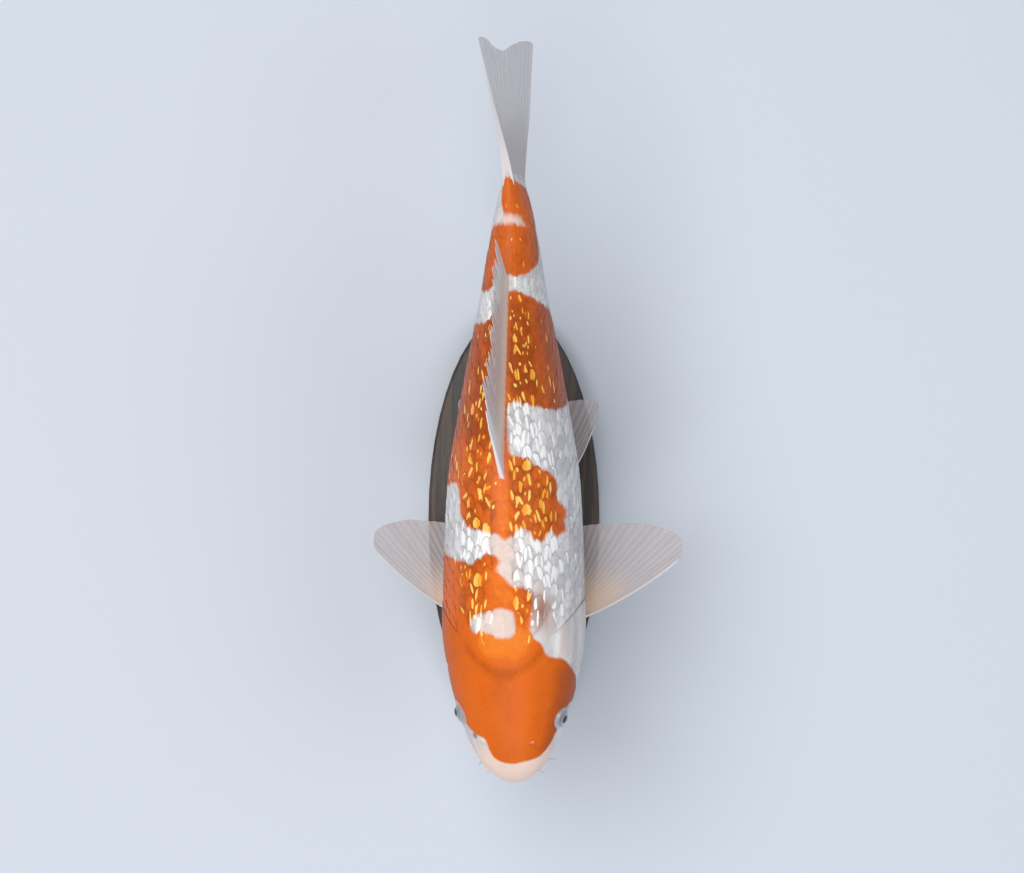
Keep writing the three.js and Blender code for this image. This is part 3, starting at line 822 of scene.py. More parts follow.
class KoiStageSettings(bpy.types.PropertyGroup):
    camera_height: FloatProperty(
        name="Camera Height", description="Of the camera over the floor", default=2.31, min=1, max=4,
        subtype="DISTANCE", unit="LENGTH",
    )
    lens: FloatProperty(
        name="Lens", description="Focal length in millimetres", default=144.0, min=50, max=300
    )
    key_power: power_setting("Key Light", "Of the main lamp", 72)
    fill_power: power_setting("Fill Light", "Of the other side", 17)
    front_power: power_setting("Front Light", "Of the snout's side", 24)
    sky: FloatProperty(
        name="Sky", description="Strength of the light from all round", default=0.27, min=0, max=2
    )


# ---- Skin ----

SKIN_DEPTH = 0.12  # of bare skin under the solids' surface
SNOUT_STATION = 0.02  # where the first ring of the skin lies
FLAP_RINGS = 2  # rings of points that turn in under the gill cover's free edge
EYE_GROOVE = 6.3  # where the skin meets the eyeball, from the eye's axis
EYE_BORDER = {"left": -0.6, "right": 1.2}  # width of the white line round each eye
IRIS_EDGE = 4.7
PUPIL_EDGE = 2.5
# Each nostril's openings: station, degrees from the back, radius and shade; then the flap between them.
NOSTRILS = {
    "left": [(22.1, 28.2, 0.55, 0.15), (24.9, 29.3, 0.55, 0.15)],
    "right": [(22.2, -34.0, 0.6, 0.3), (26.4, -46.5, 1.7, 1.0)],
}
NOSTRIL_FLAPS = {"left": (23.4, 28.4), "right": (23.9, -36.5)}
NOSTRIL_PALE = 0.45  # radius of the pale spot on a nostril's flap; on the left it is a painted highlight
NAPE_CREASE = 0.38  # depth of the groove that rounds the nape
COVER_FLAP = 1.15  # thickness of the gill cover's free edge
MEMBRANE_RAYS = (5.0, 9.5, 14.0)  # distances of the folds under the throat from the gill opening
BAKE_MARGIN = 0.02


def distance_from_axis(points, centre, axis):
    """How far points lie from a line, and how far along it."""
    offset = points - centre
    along = offset @ axis
    return np.linalg.norm(offset - along[..., None] * axis, axis=-1), along


def eye_lift(points):
    """The socket: a groove round the eyeball, a soft rim and a fold outside it."""
    lift = np.zeros(len(points))
    for name in SIDES:
        away, along = distance_from_axis(points, *eye_centre(name))
        lift += ease(along, -1, 2) * (
            -2.6 * (1 - ease(away, 4.2, EYE_GROOVE - 0.3))
            - 0.2 * hump(away, EYE_GROOVE, 0.5)
            + 0.25 * hump(away, EYE_GROOVE + 1.3, 0.85)
            - 0.12 * hump(away, EYE_GROOVE + 3.7, 1.3)
        )
    return lift


def nostril_lift(points):
    """A pit with a raised rim at each opening, and the flap that stands between the two."""
    lift = np.zeros(len(points))
    for name in SIDES:
        for station, degrees, radius, _ in NOSTRILS[name]:
            away = np.linalg.norm(points - at_degrees(station, degrees), axis=-1)
            lift -= 1.3 * (1 - ease(away, 0.45 * radius, 1.1 * radius))
            lift += 0.15 * hump(away, 1.5 * radius, 0.5)
        across, along, up = (points - at_degrees(*NOSTRIL_FLAPS[name])).T
        lift += 0.7 * hump(along, 0, 0.55) * hump(np.hypot(across, up), 0, 1.4)
    return lift


def mouth_lift(points, station):
    """The slit of the mouth, the lips above and below it, and the folds behind them."""
    above = points[:, 2] - mouth_level(station)
    at_mouth = 1 - ease(station, 12.5, 16)
    at_lips = 1 - ease(station, 8, 15)
    return (
        at_mouth * -1.5 * hump(above, 0, 0.42)
        + at_lips * (0.42 * hump(above, 1.5, 0.95) + 0.42 * hump(above, -1.5, 0.95))
        - at_lips * (0.5 * hump(above, 3.9, 0.55) + 0.4 * hump(above, -3.7, 0.6))
        - 0.35 * hump(station + 0.35 * above, 17.5, 0.9) * window(above, -4, -1, 5, 9)
    )


def face_lift(station, degrees):
    """Folds of the cheek, gill cover, throat and brow."""
    sides = np.abs(degrees)
    edge = gill_edge(degrees)
    front = cheek_edge(np.clip(sides, 40, 138))
    cover = np.clip((station - front) / np.maximum(edge - front, 1), 0, 1)
    cheek = 0.45 * np.sin(math.pi * cover) - 0.45 * hump(station, front, 1.0)
    fold = cheek * window(sides, 40, 50, 130, 140)
    fold -= 0.22 * hump(station, front - 8.5, 1.2) * window(sides, 78, 90, 124, 136)
    for distance in MEMBRANE_RAYS:
        fold -= 0.35 * hump(edge - station, distance, 0.8) * window(sides, 118, 128, 168, 176)
    fold -= 0.3 * hump(sides, 37, 6) * window(station, 27, 34, 52, 64)
    fold += 0.25 * hump(sides, 20, 10) * window(station, 24, 40, 56, 66)
    return fold


def skin_rings(settings):
    """Shares of the way along the head and along the trunk, one for each ring of points."""
    head = np.linspace(0, 1, settings.head_rings + 1) ** 1.4
    trunk = np.linspace(0, 1, settings.trunk_rings + 1) ** 1.15
    return head, trunk


def skin_form(settings, across, along):
    """Station, angle and lift of each point of the skin's sheet, and whether it is on the head."""
    head, trunk = skin_rings(settings)
    turn_row = len(head)
    trunk_row = turn_row + FLAP_RINGS
    row = np.rint(along * (trunk_row + len(trunk) - 1)).astype(int)
    on_head = row < turn_row
    turned_in = ~on_head & (row < trunk_row)
    first = row == turn_row

    angle = (across * 2 - 1) * math.pi
    degrees = np.degrees(angle)
    edge = gill_edge(degrees)
    nape = nape_share(degrees)
    flap = (1 - nape) * mix(1, 0.55, ease(np.abs(degrees), 136, 160)) * (1 - 0.65 * hump(degrees, -62, 18))
    forward = mix(SNOUT_STATION, edge, head[np.clip(row, 0, turn_row - 1)])
    under = edge + np.where(first, mix(-0.1, 0.4, nape), mix(-1.2 * flap, 0.8, nape))
    start = edge + mix(-0.8 * flap, 1.2, nape)
    rearward = mix(start, SKIN_END, trunk[np.clip(row - trunk_row, 0, len(trunk) - 1)])
    station = np.select([on_head, turned_in], [forward, under], rearward)

    points = on_body(station, angle)
    lift = face_lift(station, degrees) - SKIN_DEPTH - 0.5 * (1 - ease(station, 4, 12))
    lift += eye_lift(points) + nostril_lift(points) + mouth_lift(points, station)
    bed = settings.scale_bed / MM
    behind = station - edge
    trunk_lift = mix(-bed, -SKIN_DEPTH, ease(station, BODY_LENGTH - 2, BODY_LENGTH + 3))
    nape_lift = np.maximum(trunk_lift, -SKIN_DEPTH - bed * ease(behind, 6, 24))
    thickness = COVER_FLAP * flap
    under_lift = -SKIN_DEPTH - np.where(first, 0.6, 1) * thickness
    lift = np.select([on_head, turned_in], [lift, under_lift], mix(trunk_lift, nape_lift, nape))
    from_cover = np.minimum(lift, -SKIN_DEPTH - thickness * (1 - ease(behind, 0, 3)))
    lift = np.where((row >= trunk_row) & (behind < 3), from_cover, lift)
    lift -= NAPE_CREASE * nape_groove(behind, degrees)
    return station, angle, lift, on_head | turned_in


def nostril_hollow(points):
    hollow = np.zeros(len(points))
    for station, degrees, radius, shade in NOSTRILS["left"] + NOSTRILS["right"]:
        away = np.linalg.norm((points - at_degrees(station, degrees)) * (1, 0.8, 0.6), axis=-1)
        hollow = np.maximum(hollow, shade * (1 - ease(away, 0.5 * radius, 1.15 * radius)))
    return hollow


def face_white(points):
    """How far a point is outside the line round each eye and the spot on each nostril, which are white; the
    left nostril's spot is a painted highlight.
    """
    outside = np.full(len(points), FAR_OUTSIDE)
    for name in SIDES:
        away, along = distance_from_axis(points, *eye_centre(name))
        line = np.where(along > -2, away - EYE_GROOVE - EYE_BORDER[name], FAR_OUTSIDE)
        spot = np.linalg.norm(points - at_degrees(*NOSTRIL_FLAPS[name]), axis=-1) - NOSTRIL_PALE
        outside = np.minimum(outside, np.minimum(line, spot))
    return outside


def bed_shade(station, degrees, lift, on_head):
    """Painted shade: where skin lies in the shade of scales, and painted shade that darkens the rim of the
    gill cover's free edge.
    """
    behind = station - gill_edge(degrees)
    rim = ease(behind, -0.9, -0.1) * window(np.abs(degrees), 40, 52, 125, 140)
    covered = ease(-lift - NAPE_CREASE * nape_groove(behind, degrees), 0.55, 0.95)
    return np.where(on_head, rim, covered * (1 - ridge_strip(station, degrees, 15)))


def orange_tone(station, degrees):
    """How bright the orange is: most on the ridge and the dome of the nape, least behind and low down.
    Besides the orange's own tone, it holds painted shade down the flanks, on the left side of the head and in
    the nape's crease.
    """
    sides = np.abs(degrees)
    behind = station - gill_edge(degrees)
    dome = window(behind, 0, 11, 15, 28) * (1 - ease(sides, 12, 34))
    ridge = hump(degrees, 0, 9 + 8 * nape_smooth(station)) * window(station, 64, 84, 160, 172)
    # Lighter and darker bands on the head are its own tone; the darkening of its left side from 31 degrees
    # down is painted shade.
    bands_and_shade = 0.08 * hump(degrees, 17, 8) + 0.08 * hump(degrees, -30, 10)
    bands_and_shade -= 0.09 * hump(degrees, -3, 9) * hump(station, 50, 12) + 0.2 * ease(degrees, 31, 56)
    rear = ease(station, 165, 200) * (1 - 0.45 * ease(station, 262, 275) - 0.5 * ease(station, 294, 306))
    # The darkening down both flanks is painted shade; the darker rear is the orange's own tone.
    tone = 0.55 + 0.4 * dome + 0.24 * ridge * (1 - dome) - 0.3 * rear - 0.3 * ease(sides, 40, 95)
    on_head = 1 - ease(station, 58, 72)
    # Painted shade darkens the crease round the nape.
    return np.clip(tone + on_head * bands_and_shade - 0.18 * nape_groove(behind, degrees), 0, 1)


def blush_at(station, degrees):
    """Where white is warm: lips and snout, ridge, island, gill covers and the break before the last patch."""
    snout = 1 - ease(station, 12, 30)
    ridge = hump(degrees, 0, 15) * window(station, 60, 80, 150, 170)
    island = 0.8 * hump(station, 88, 9) * hump(degrees, -6, 22)
    stalk = 0.8 * hump(degrees, 5, 40) * hump(station, 301, 5)
    cover = 0.4 * hump(np.abs(degrees), 52, 7) * window(station, 58, 66, 80, 90)
    return np.clip(0.75 * snout + np.maximum(0.75 * ridge, island) + stalk + cover, 0, 1)


def cover_gleam(station, degrees):
    """A painted highlight: a pale streak down the upper side of each gill cover."""
    return hump(np.abs(degrees), 45, 3.2) * window(station, 60, 70, 80, 88)


def dusk_at(station, degrees):
    """A brownish place on the left shoulder where the white is thin."""
    return 0.95 * hump(station, 94.5, 11) * hump(degrees, 30.5, 9.5)


def finward(station):
    """1 at the tail fin's root, where the skin takes the fin's colour."""
    return ease(station, BODY_LENGTH - 4, BODY_LENGTH)


def sparkle_zone(station, degrees):
    """Where scales sparkle with painted highlights: along both sides of the back, and least on ridge and
    flank.
    """
    sides = np.abs(degrees)
    reach = np.where(degrees > 0, mix(38, 24, ease(station, 170, 200)), 30)
    zone = (1 - ridge_strip(station, degrees)) * window(sides, 3, 6, 60, 85)
    zone = zone * (1 - 0.9 * ease(sides, reach, reach + 20))
    front = mix(88, 70, shoulder(degrees))
    zone = zone * ease(station, front - 7, front + 6) * (1 - 0.97 * ease(station, 248, 263))
    gathered = np.sin(0.31 * station + 0.12 * degrees) * np.sin(0.17 * degrees - 0.11 * station + 1)
    return np.clip(zone * (0.8 + 0.4 * gathered), 0, 1)


def unwrap(station, degrees):
    """Places in the skin's unwrap, which has the way round the body across it and the stations up it."""
    shares = degrees / 360 + 0.5, station / SKIN_END
    return [mix(BAKE_MARGIN, 1 - BAKE_MARGIN, share) for share in shares]


class KOI_OT_skin(bpy.types.Operator):
    """One skin from the lips to the tail's root, with mouth, nostrils, sockets and gill covers"""

    bl_idname = "koi.skin"
    bl_label = "Skin"

    def execute(self, context):
        settings = context.scene.koi_skin
        head, trunk = skin_rings(settings)
        skin, across, along = sheet("skin", settings.around, len(head) + len(trunk) + FLAP_RINGS - 1)
        station, angle, lift, on_head = skin_form(settings, across, along)
        degrees = np.degrees(angle)
        points = on_body(station, angle) + outward(station, angle) * lift[:, None]
        points[along > 1 - 1e-6, 0] = 0
        snout = along < 1e-6
        points[snout] = points[snout].mean(axis=0)
        set_points(skin, points)
        set_map(skin, "OFBake", *unwrap(station, degrees))
        in_mouth = ease(-lift, 0.75, 1.9) * on_head * (1 - ease(station, 15, 18))
        set_attributes(
            skin,
            marking=marking_share(np.minimum(marking_at(station, degrees), face_white(points))),
            tone=orange_tone(station, degrees),
            blush=blush_at(station, degrees),
            bed=bed_shade(station, degrees, lift, on_head),
            gleam=cover_gleam(station, degrees),
            dusk=dusk_at(station, degrees),
            hollow=np.maximum(nostril_hollow(points), in_mouth),
            finward=finward(station),
        )
        close_up(skin)
        smooth_faces(skin)
        finish_piece(
            skin, skin_material(context.scene.koi_finish),
            ("head", "gill_cover_left", "gill_cover_right", "trunk", "tail_stalk"),
        )
        return {"FINISHED"}


# ---- Scales ----

SCALE_SEGMENTS = 14
SCALE_THICKNESS = 0.17  # at the rim
SCALE_DEPTH = 0.04  # of a level scale's top under the solids' surface
HALF_LENGTH, HALF_BREADTH = 0.98, 0.69  # of a scale, in spacings and in rows
CURVED_TILT = 0.044  # the tilt for which scale_lift says how curved a scale is
SMOOTH_FADE = 15.0  # degrees over which scales lie flatter beside the smooth strip along the back
WHOLE_GLINT, HALF_GLINT, STREAK_GLINT = 0.2, 0.42, 0.8  # running shares of the kinds of glint
ARC_SHARE = 0.4  # of the larger glints, that are only a bright line along their edge
GLINT_MAPS = {"glint": (1.15, 1.2), "speck": (1.1, 1.4), "dash": (0.3, 1.3)}  # how often on orange, on white
NO_GLINT = 9.0  # a place in a glint's map that is far outside the glint
FIRST_ROW_TO = 0.04  # share round the side within which a scale is in the row beside the ridge
LINE_ROW = 11.5  # the row of scales, from the back, that carries the line along the side
FIRST_SCALE = 58.0  # stations
LAST_SCALE = BODY_LENGTH + 1.0
BAKE_PATCH = 0.0015  # half the width of a scale's patch in the skin's unwrap
FIRST_SEED = 20


class Girth:
    """Turns a share of the way round one side of the body, by length, into an angle."""

    def __init__(self):
        self.stations = np.linspace(40, SKIN_END - 0.5, 140)
        self.shares = np.linspace(0, 1, 241)
        angles = np.linspace(0, math.pi, 361)
        rings = on_body(self.stations[:, None], angles[None, :])
        steps = np.linalg.norm(np.diff(rings[..., [0, 2]], axis=1), axis=-1)
        travelled = np.concatenate([np.zeros((len(steps), 1)), np.cumsum(steps, axis=1)], axis=1)
        self.half = travelled[:, -1]
        self.table = np.array([np.interp(self.shares, row / row[-1], angles) for row in travelled])

    def half_girth(self, station):
        return np.interp(station, self.stations, self.half)

    def angle(self, station, share):
        """Shares below 0 cross the ridge, and those over 1 cross the belly."""
        folded = np.abs(share)
        folded = np.where(folded > 1, 2 - folded, folded)
        last_row, last_column = len(self.stations) - 1, len(self.shares) - 1
        i = np.interp(station, self.stations, np.arange(last_row + 1)).clip(0, last_row - 0.001)
        j = (folded * last_column).clip(0, last_column - 0.001)
        i0, j0 = i.astype(int), j.astype(int)
        near = mix(self.table[i0, j0], self.table[i0, j0 + 1], j - j0)
        far = mix(self.table[i0 + 1, j0], self.table[i0 + 1, j0 + 1], j - j0)
        angle = mix(near, far, i - i0)
        angle = np.where(np.abs(share) > 1, 2 * math.pi - angle, angle)
        return angle * np.where(share < 0, -1, 1)


def scale_pitch(settings, station):
    """From one scale to the next along the body, in millimetres."""
    shrink = ease(station, 170, LAST_SCALE)
    nape = 1 - ease(station, 55, 95)
    return mix(settings.spacing, settings.spacing_at_tail, shrink) / MM * (1 - 0.22 * nape)


def scale_places(settings, girth, chance):
    """Station and share round the side of each scale on one side, in staggered rows."""
    rings = [FIRST_SCALE]
    while rings[-1] < LAST_SCALE:
        rings.append(rings[-1] + 0.5 * float(scale_pitch(settings, rings[-1])))
    places = []
    for count, ring in enumerate(rings[:-1]):
        for row in range(count % 2, settings.rows, 2):
            share = (row + 0.5) / settings.rows
            along, aside = 0.12 * chance.standard_normal(2)
            station = ring + 2.0 * along
            degrees = math.degrees(float(girth.angle(np.array(station), np.array(share))))
            if station >= gill_edge(degrees) + mix(-3.0, 1.2, nape_share(degrees)):
                places.append((station, share + 0.03 * aside))
    return np.array(places)


def scale_blank():
    """One thin scale, modelled flat: x runs across it, y towards its free edge, z from underside to top."""
    deselect()
    bpy.ops.mesh.primitive_circle_add(vertices=SCALE_SEGMENTS, radius=1, fill_type="NGON")
    blank = bpy.context.object
    bpy.ops.object.mode_set(mode="EDIT")
    bpy.ops.mesh.select_mode(type="FACE")
    bpy.ops.mesh.select_all(action="SELECT")
    bpy.ops.mesh.extrude_region_move(TRANSFORM_OT_translate={"value": (0, 0, 1)})
    bpy.ops.mesh.inset(thickness=0.17)
    bpy.ops.mesh.inset(thickness=0.38)
    bpy.ops.mesh.poke()
    bpy.ops.mesh.select_all(action="SELECT")
    bpy.ops.mesh.normals_make_consistent(inside=False)
    bpy.ops.object.mode_set(mode="OBJECT")
    return blank


def copies_of(blank, count, name):
    """A mesh of many copies of a blank, in one piece."""
    source = blank.data
    corners = np.empty(len(source.loops), int)
    source.loops.foreach_get("vertex_index", corners)
    starts = np.empty(len(source.polygons), int)
    source.polygons.foreach_get("loop_start", starts)
    vertices = len(source.vertices)
    copy = np.arange(count)[:, None]
    mesh = bpy.data.meshes.new(name)
    mesh.vertices.add(count * vertices)
    mesh.loops.add(count * len(corners))
    mesh.polygons.add(count * len(starts))
    mesh.loops.foreach_set("vertex_index", (corners + copy * vertices).ravel())
    mesh.polygons.foreach_set("loop_start", (starts + copy * len(corners)).ravel())
    mesh.update(calc_edges=True)
    piece = bpy.data.objects.new(name, mesh)
    bpy.context.scene.collection.objects.link(piece)
    return piece


def scale_lift(across, along, top, length, tilt):
    """Height of a point of a scale over the solids' surface: low at the root, high at the free edge."""
    radius = np.hypot(across, along)
    rise = tilt * length * (along - 0.85)
    curve = (0.2 * across**2 + 0.08 * radius**4) * tilt / CURVED_TILT
    return rise - curve - SCALE_DEPTH - np.where(top, 0, SCALE_THICKNESS + 0.2 * (1 - radius**2))


def smaller(kind):
    """The draw of a patch's kind, without the larger kinds."""
    return 0.45 + 0.55 * kind


def glints(name, places, white, dusk, chance):
    """For each scale the form of one painted highlight, the draw that shows it, and whether it is an arc."""
    shape = white.shape
    kind, luck = chance.random(shape), chance.random(shape)
    side, size = np.sign(chance.random(shape) - 0.5), chance.random(shape)
    lean = 0.3 * (1 - 0.4 * white) * chance.standard_normal(shape) + 0.12
    shown, arc = chance.random(shape), chance.random(shape) < ARC_SHARE
    beside_ridge = places[:, 1:] < FIRST_ROW_TO
    side = np.where(beside_ridge, 1, side)
    if name != "glint":
        kind = smaller(kind)
    kind = np.where(beside_ridge, smaller(kind), kind)
    kind = mix(kind, 0.25 + 0.75 * kind, ease(places[:, :1], 168, 190))
    pale = np.maximum(white, ease(dusk, 0.2, 0.5))
    whole = kind < WHOLE_GLINT * (1 - 0.5 * pale)
    half = kind < HALF_GLINT * (1 - 0.4 * pale)
    streak = kind < STREAK_GLINT + 0.14 * pale
    kinds = [whole, half, streak]
    middle_across = np.select(kinds, [0 * luck, 0.36 * side, 0.6 * side * luck], 0.65 * side * luck)
    middle_along = np.select(kinds, [0.46, 0.42, 0.34 + 0.2 * size], 0.2 + 0.55 * size)
    broad = np.select(kinds, [0.8, 0.38, 0.21 - 0.05 * white], 0.2) * (0.75 + 0.45 * size)
    long = np.select(kinds, [0.45, 0.44, 0.42 + 0.16 * white], 0.16) * (0.75 + 0.45 * size)
    return (middle_across, middle_along, broad, long, lean), shown, arc & (whole | half)


def glint_map(form, across, along, half_breadth, half_length):
    """A map that runs from 0 at the middle of a scale's painted highlight to 1 at its edge."""
    middle_across, middle_along, broad, long, lean = form
    x = (across - middle_across) * half_breadth
    y = (along - middle_along) * half_length
    u = (x * np.cos(lean) + y * np.sin(lean)) / (broad * half_breadth)
    v = (y * np.cos(lean) - x * np.sin(lean)) / (long * half_length)
    return u, v


class KOI_OT_scales(bpy.types.Operator):
    """Thin overlapping scales over the skin, in staggered rows along each side"""

    bl_idname = "koi.scales"
    bl_label = "Scales"

    def execute(self, context):
        settings = context.scene.koi_scales
        girth = Girth()
        blank = scale_blank()
        points = read_points(blank)
        material = scale_material(context.scene.koi_finish)
        for seed, (name, side) in enumerate(SIDES.items()):
            chance = np.random.default_rng(FIRST_SEED + seed)
            places = scale_places(settings, girth, chance)
            piece = copies_of(blank, len(places), f"scales_{name}")
            self.lay(piece, points, places, side, girth, settings, chance)
            smooth_faces(piece, 50)
            finish_piece(piece, material)
        bpy.data.objects.remove(blank)
        return {"FINISHED"}

    def lay(self, piece, points, places, side, girth, settings, chance):
        """Lays the copies on the body. Arrays have a row for each scale, a column for each of its points."""
        across, along, top = points[:, 0][None], points[:, 1][None], points[:, 2][None] > 0.5
        centre, share = places[:, :1], places[:, 1:]
        size = 1 + 0.05 * chance.standard_normal(centre.shape)
        half_length = HALF_LENGTH * scale_pitch(settings, centre) * size
        half_breadth = HALF_BREADTH * girth.half_girth(centre) / settings.rows * size
        pointed = 1 + 0.1 * np.maximum(along, 0) * (1 - np.abs(across))
        station = np.minimum(centre + along * half_length * pointed, SKIN_END - 1)
        around = share + across * half_breadth / girth.half_girth(station)
        angle = side * girth.angle(station, around)
        degrees = signed_degrees(angle)
        middle = signed_degrees(side * girth.angle(centre, share))

        flat = 1 - 0.8 * ridge_strip(centre, middle, SMOOTH_FADE)
        nape = nape_share(middle)
        behind = centre - gill_edge(middle)
        settled = mix(1, ease(behind, 2, 26), 0.5 * nape)
        tilt = settings.tilt * settled * flat * (1 - 0.3 * ease(centre, 170, 200))
        early = shoulder(middle)
        lift = scale_lift(across, along, top, half_length, tilt)
        lift = lift + 0.04 * chance.standard_normal(centre.shape) * flat
        lift = lift - 0.75 * nape * (1 - ease(behind, 8 - 5 * early, 24 - 11 * early))
        set_points(piece, on_body(station, angle) + outward(station, angle) * lift[..., None])
        u, v = unwrap(centre, middle)
        set_map(piece, "OFBake", u + BAKE_PATCH * across, v + BAKE_PATCH * along)
        across, along = np.broadcast_arrays(across, along, degrees)[:2]
        set_map(piece, "lay", across * 0.5 + 0.5, along * 0.5 + 0.5)

        at_middle = marking_at(centre, middle)
        white = ease(at_middle, 0.5, -0.5)
        dusk = dusk_at(centre, middle)
        zone = sparkle_zone(station, degrees) * ease(centre, 80, 92)
        sparkling = ease(zone, 0, 0.8)
        net_and_shade_of_flank = mix(0.09, 0.2, white) * ease(np.abs(middle), 42, 66)
        set_attributes(
            piece,
            marking=marking_share(mix(marking_at(station, degrees), at_middle, 0.2)),
            chance=chance.random(centre.shape),
            tone=orange_tone(station, degrees),
            blush=blush_at(station, degrees),
            dusk=dusk_at(station, degrees),
            finward=finward(station),
            zone=zone,
            net=0.04 + 0.27 * sparkling + net_and_shade_of_flank * (1 - sparkling),
            pore=np.abs(share * settings.rows - LINE_ROW) < 0.4,
        )
        # Painted highlights: each scale's patches of light, shown most where scales sparkle.
        often = sparkle_zone(centre, middle) * settings.sparkle * (1 - 0.5 * dusk)
        often = often * (1 - 0.35 * (side < 0) * ease(centre, 168, 190))
        for name, (on_orange, on_white) in GLINT_MAPS.items():
            form, shown, arc = glints(name, places, white, dusk, chance)
            shown = shown < often * mix(on_orange, on_white, white)
            u, v = glint_map(form, across, along, half_breadth, half_length)
            set_map(piece, name, np.where(shown, u, NO_GLINT), np.where(shown, v, NO_GLINT))
            set_attributes(piece, **{"arc_" + name: arc})


# ---- Fins ----

ROOT_OVERRUN = 0.08  # share of a fin's length that is inside the body
WAVES = 9.0  # radians of a fin's sideways waves, from its first ray to its last
REARWARDS = np.array([0.0, 1.0, 0.0])
# What fins share, unless a fin has its own. Places on a fin are shares from its first ray to its last one,
# and from its root to its tip. A fin's functions of the first share give its root line, the way out of the
# body, each ray's length, its lean rearwards in degrees and its curl.
FIN_DEFAULTS = dict(
    bend=0.0,  # how far the tip is carried to one side, as a share of the length
    corners=0.1,  # share of the breadth over which the outline is rounded
    edge=1.2,  # how pale the first ray is
    lead=1.0,  # how much thicker the first ray is, as a share of the thickest
    rays_from=(-0.1, 0.0),  # shares of the length between which rays rise out of the root
    two_edged=False,  # whether the last ray is like the first
)


def straight(start, end):
    return lambda share: start + (end - start) * share[:, None]


def same_way(direction):
    return lambda share: np.tile(direction, (len(share), 1))


def paired_out(side, droop):
    turn = math.radians(droop)
    return same_way([side * math.cos(turn), 0, -math.sin(turn)])


def pectoral_fin(side, droop, sweep, size):
    fan = even_curve(19, 28, 42, 58, 76, 95)
    reach = even_curve(67, 73.5, 67.5, 56.5, 47, 40)
    start = on_body(85.5, np.radians(side * 130), -2)
    end = on_body(94, np.radians(side * 140), -2)
    return dict(
        roots=straight(start, end), out=paired_out(side, droop),
        angle=lambda share: sweep + fan(share), length=lambda share: size * reach(share),
        curl=even_curve(0.19, 0.14, 0.07, 0.02, 0, 0), rays=20, rows=44, thick=3.0, bend=side * 0.05,
        wave=0.8, notch=0.004, corner=0.05, leading=0.02, edge=0.7,
        warmth=1.0, pale=0.1, body=0.38, ray_height=0.75,
    )


def pelvic_fin(side, droop, sweep):
    fan = even_curve(36, 46, 57, 70, 86)
    start = on_body(152, np.radians(side * 160), -2)
    end = on_body(158, np.radians(side * 169), -2)
    return dict(
        roots=straight(start, end), out=paired_out(side, droop),
        angle=lambda share: sweep + fan(share), length=even_curve(45, 56.5, 57.5, 52, 42),
        curl=even_curve(0.37, 0.24, 0.1, 0.03, 0), rays=10, rows=34, thick=2.6, bend=side * 0.04,
        wave=0.5, notch=0.004, corner=0.1, corners=0.28, leading=0.02, lead=25 / 27, edge=1.0,
        warmth=0.5, pale=0.1, body=0.36, ray_height=0.75,
    )


def dorsal_fin():
    lean = even_curve(17, 19, 22.5, 28, 26, 17)

    def out(share):
        turn = np.radians(lean(share))
        return np.stack([-np.sin(turn), 0 * turn, np.cos(turn)], axis=-1)

    return dict(
        roots=lambda share: on_body(mix(162, 267, share), 0 * share, -1.5), out=out,
        angle=even_curve(57, 59, 61, 62, 58), curl=lambda share: 0.03 + 0 * share,
        length=even_curve(43, 44.5, 38.5, 35, 32.5, 31, 29.5, 28.5, 28), rays=24, rows=30, thick=2.2,
        wave=0.6, notch=0.19, corner=0.0, leading=0.07,
        warmth=0.75, pale=0.9, body=0.52, ray_height=0.85,
    )


def anal_fin():
    return dict(
        roots=lambda share: on_body(mix(244, 263, share), math.pi + 0 * share, -1.5),
        out=same_way([0.05, 0, -1]), angle=even_curve(42, 48, 56, 64),
        length=even_curve(42, 38, 30, 24), curl=even_curve(0.06, 0.03, 0, 0), rays=8, rows=30, thick=2.2,
        bend=0.03, wave=0.4, notch=0.03, corner=0.03, leading=0.03,
        warmth=0.4, pale=0.4, body=0.45, ray_height=1.0,
    )


def tail_fin():
    station = 320
    upper = float(back_height(station)) - 2.5
    lower = float(belly_depth(station)) - 1

    def roots(share):
        along = station + 3 * np.sin(math.pi * share)
        return np.stack([0 * share, along, mix(upper, -lower, share)], axis=-1)

    return dict(
        roots=roots, out=same_way([0, 0, 1.0]),
        angle=even_curve(78.5, 83, 85.2, 87.5, 89.6, 92.1, 95.1, 97.8, 100.5),
        length=even_curve(81.6, 76.8, 71.6, 70, 71.9, 74.3, 77.7, 81.7, 85.5),
        curl=even_curve(-0.13, -0.08, -0.03, 0, 0, 0, 0.03, 0.08, 0.13), rays=15, rows=46, thick=5.6,
        wave=0.7, notch=0.002, corner=0.03, corners=0.08, leading=0.0, edge=0.1, two_edged=True,
        warmth=0.0, pale=0.6, body=0.34, ray_height=0.6, rays_from=(0.1, 0.5),
    )


def ray_relief(phase, reach):
    """Height of the rays over the web, from 0 to 1. A ray is single at its root and then forks."""
    fork = 0.15 * ease(reach, 0.5, 1.0)
    width = mix(0.24, 0.16, ease(reach, 0.4, 0.9))
    return np.maximum(hump(phase, 0.5 - fork, width), hump(phase, 0.5 + fork, width))


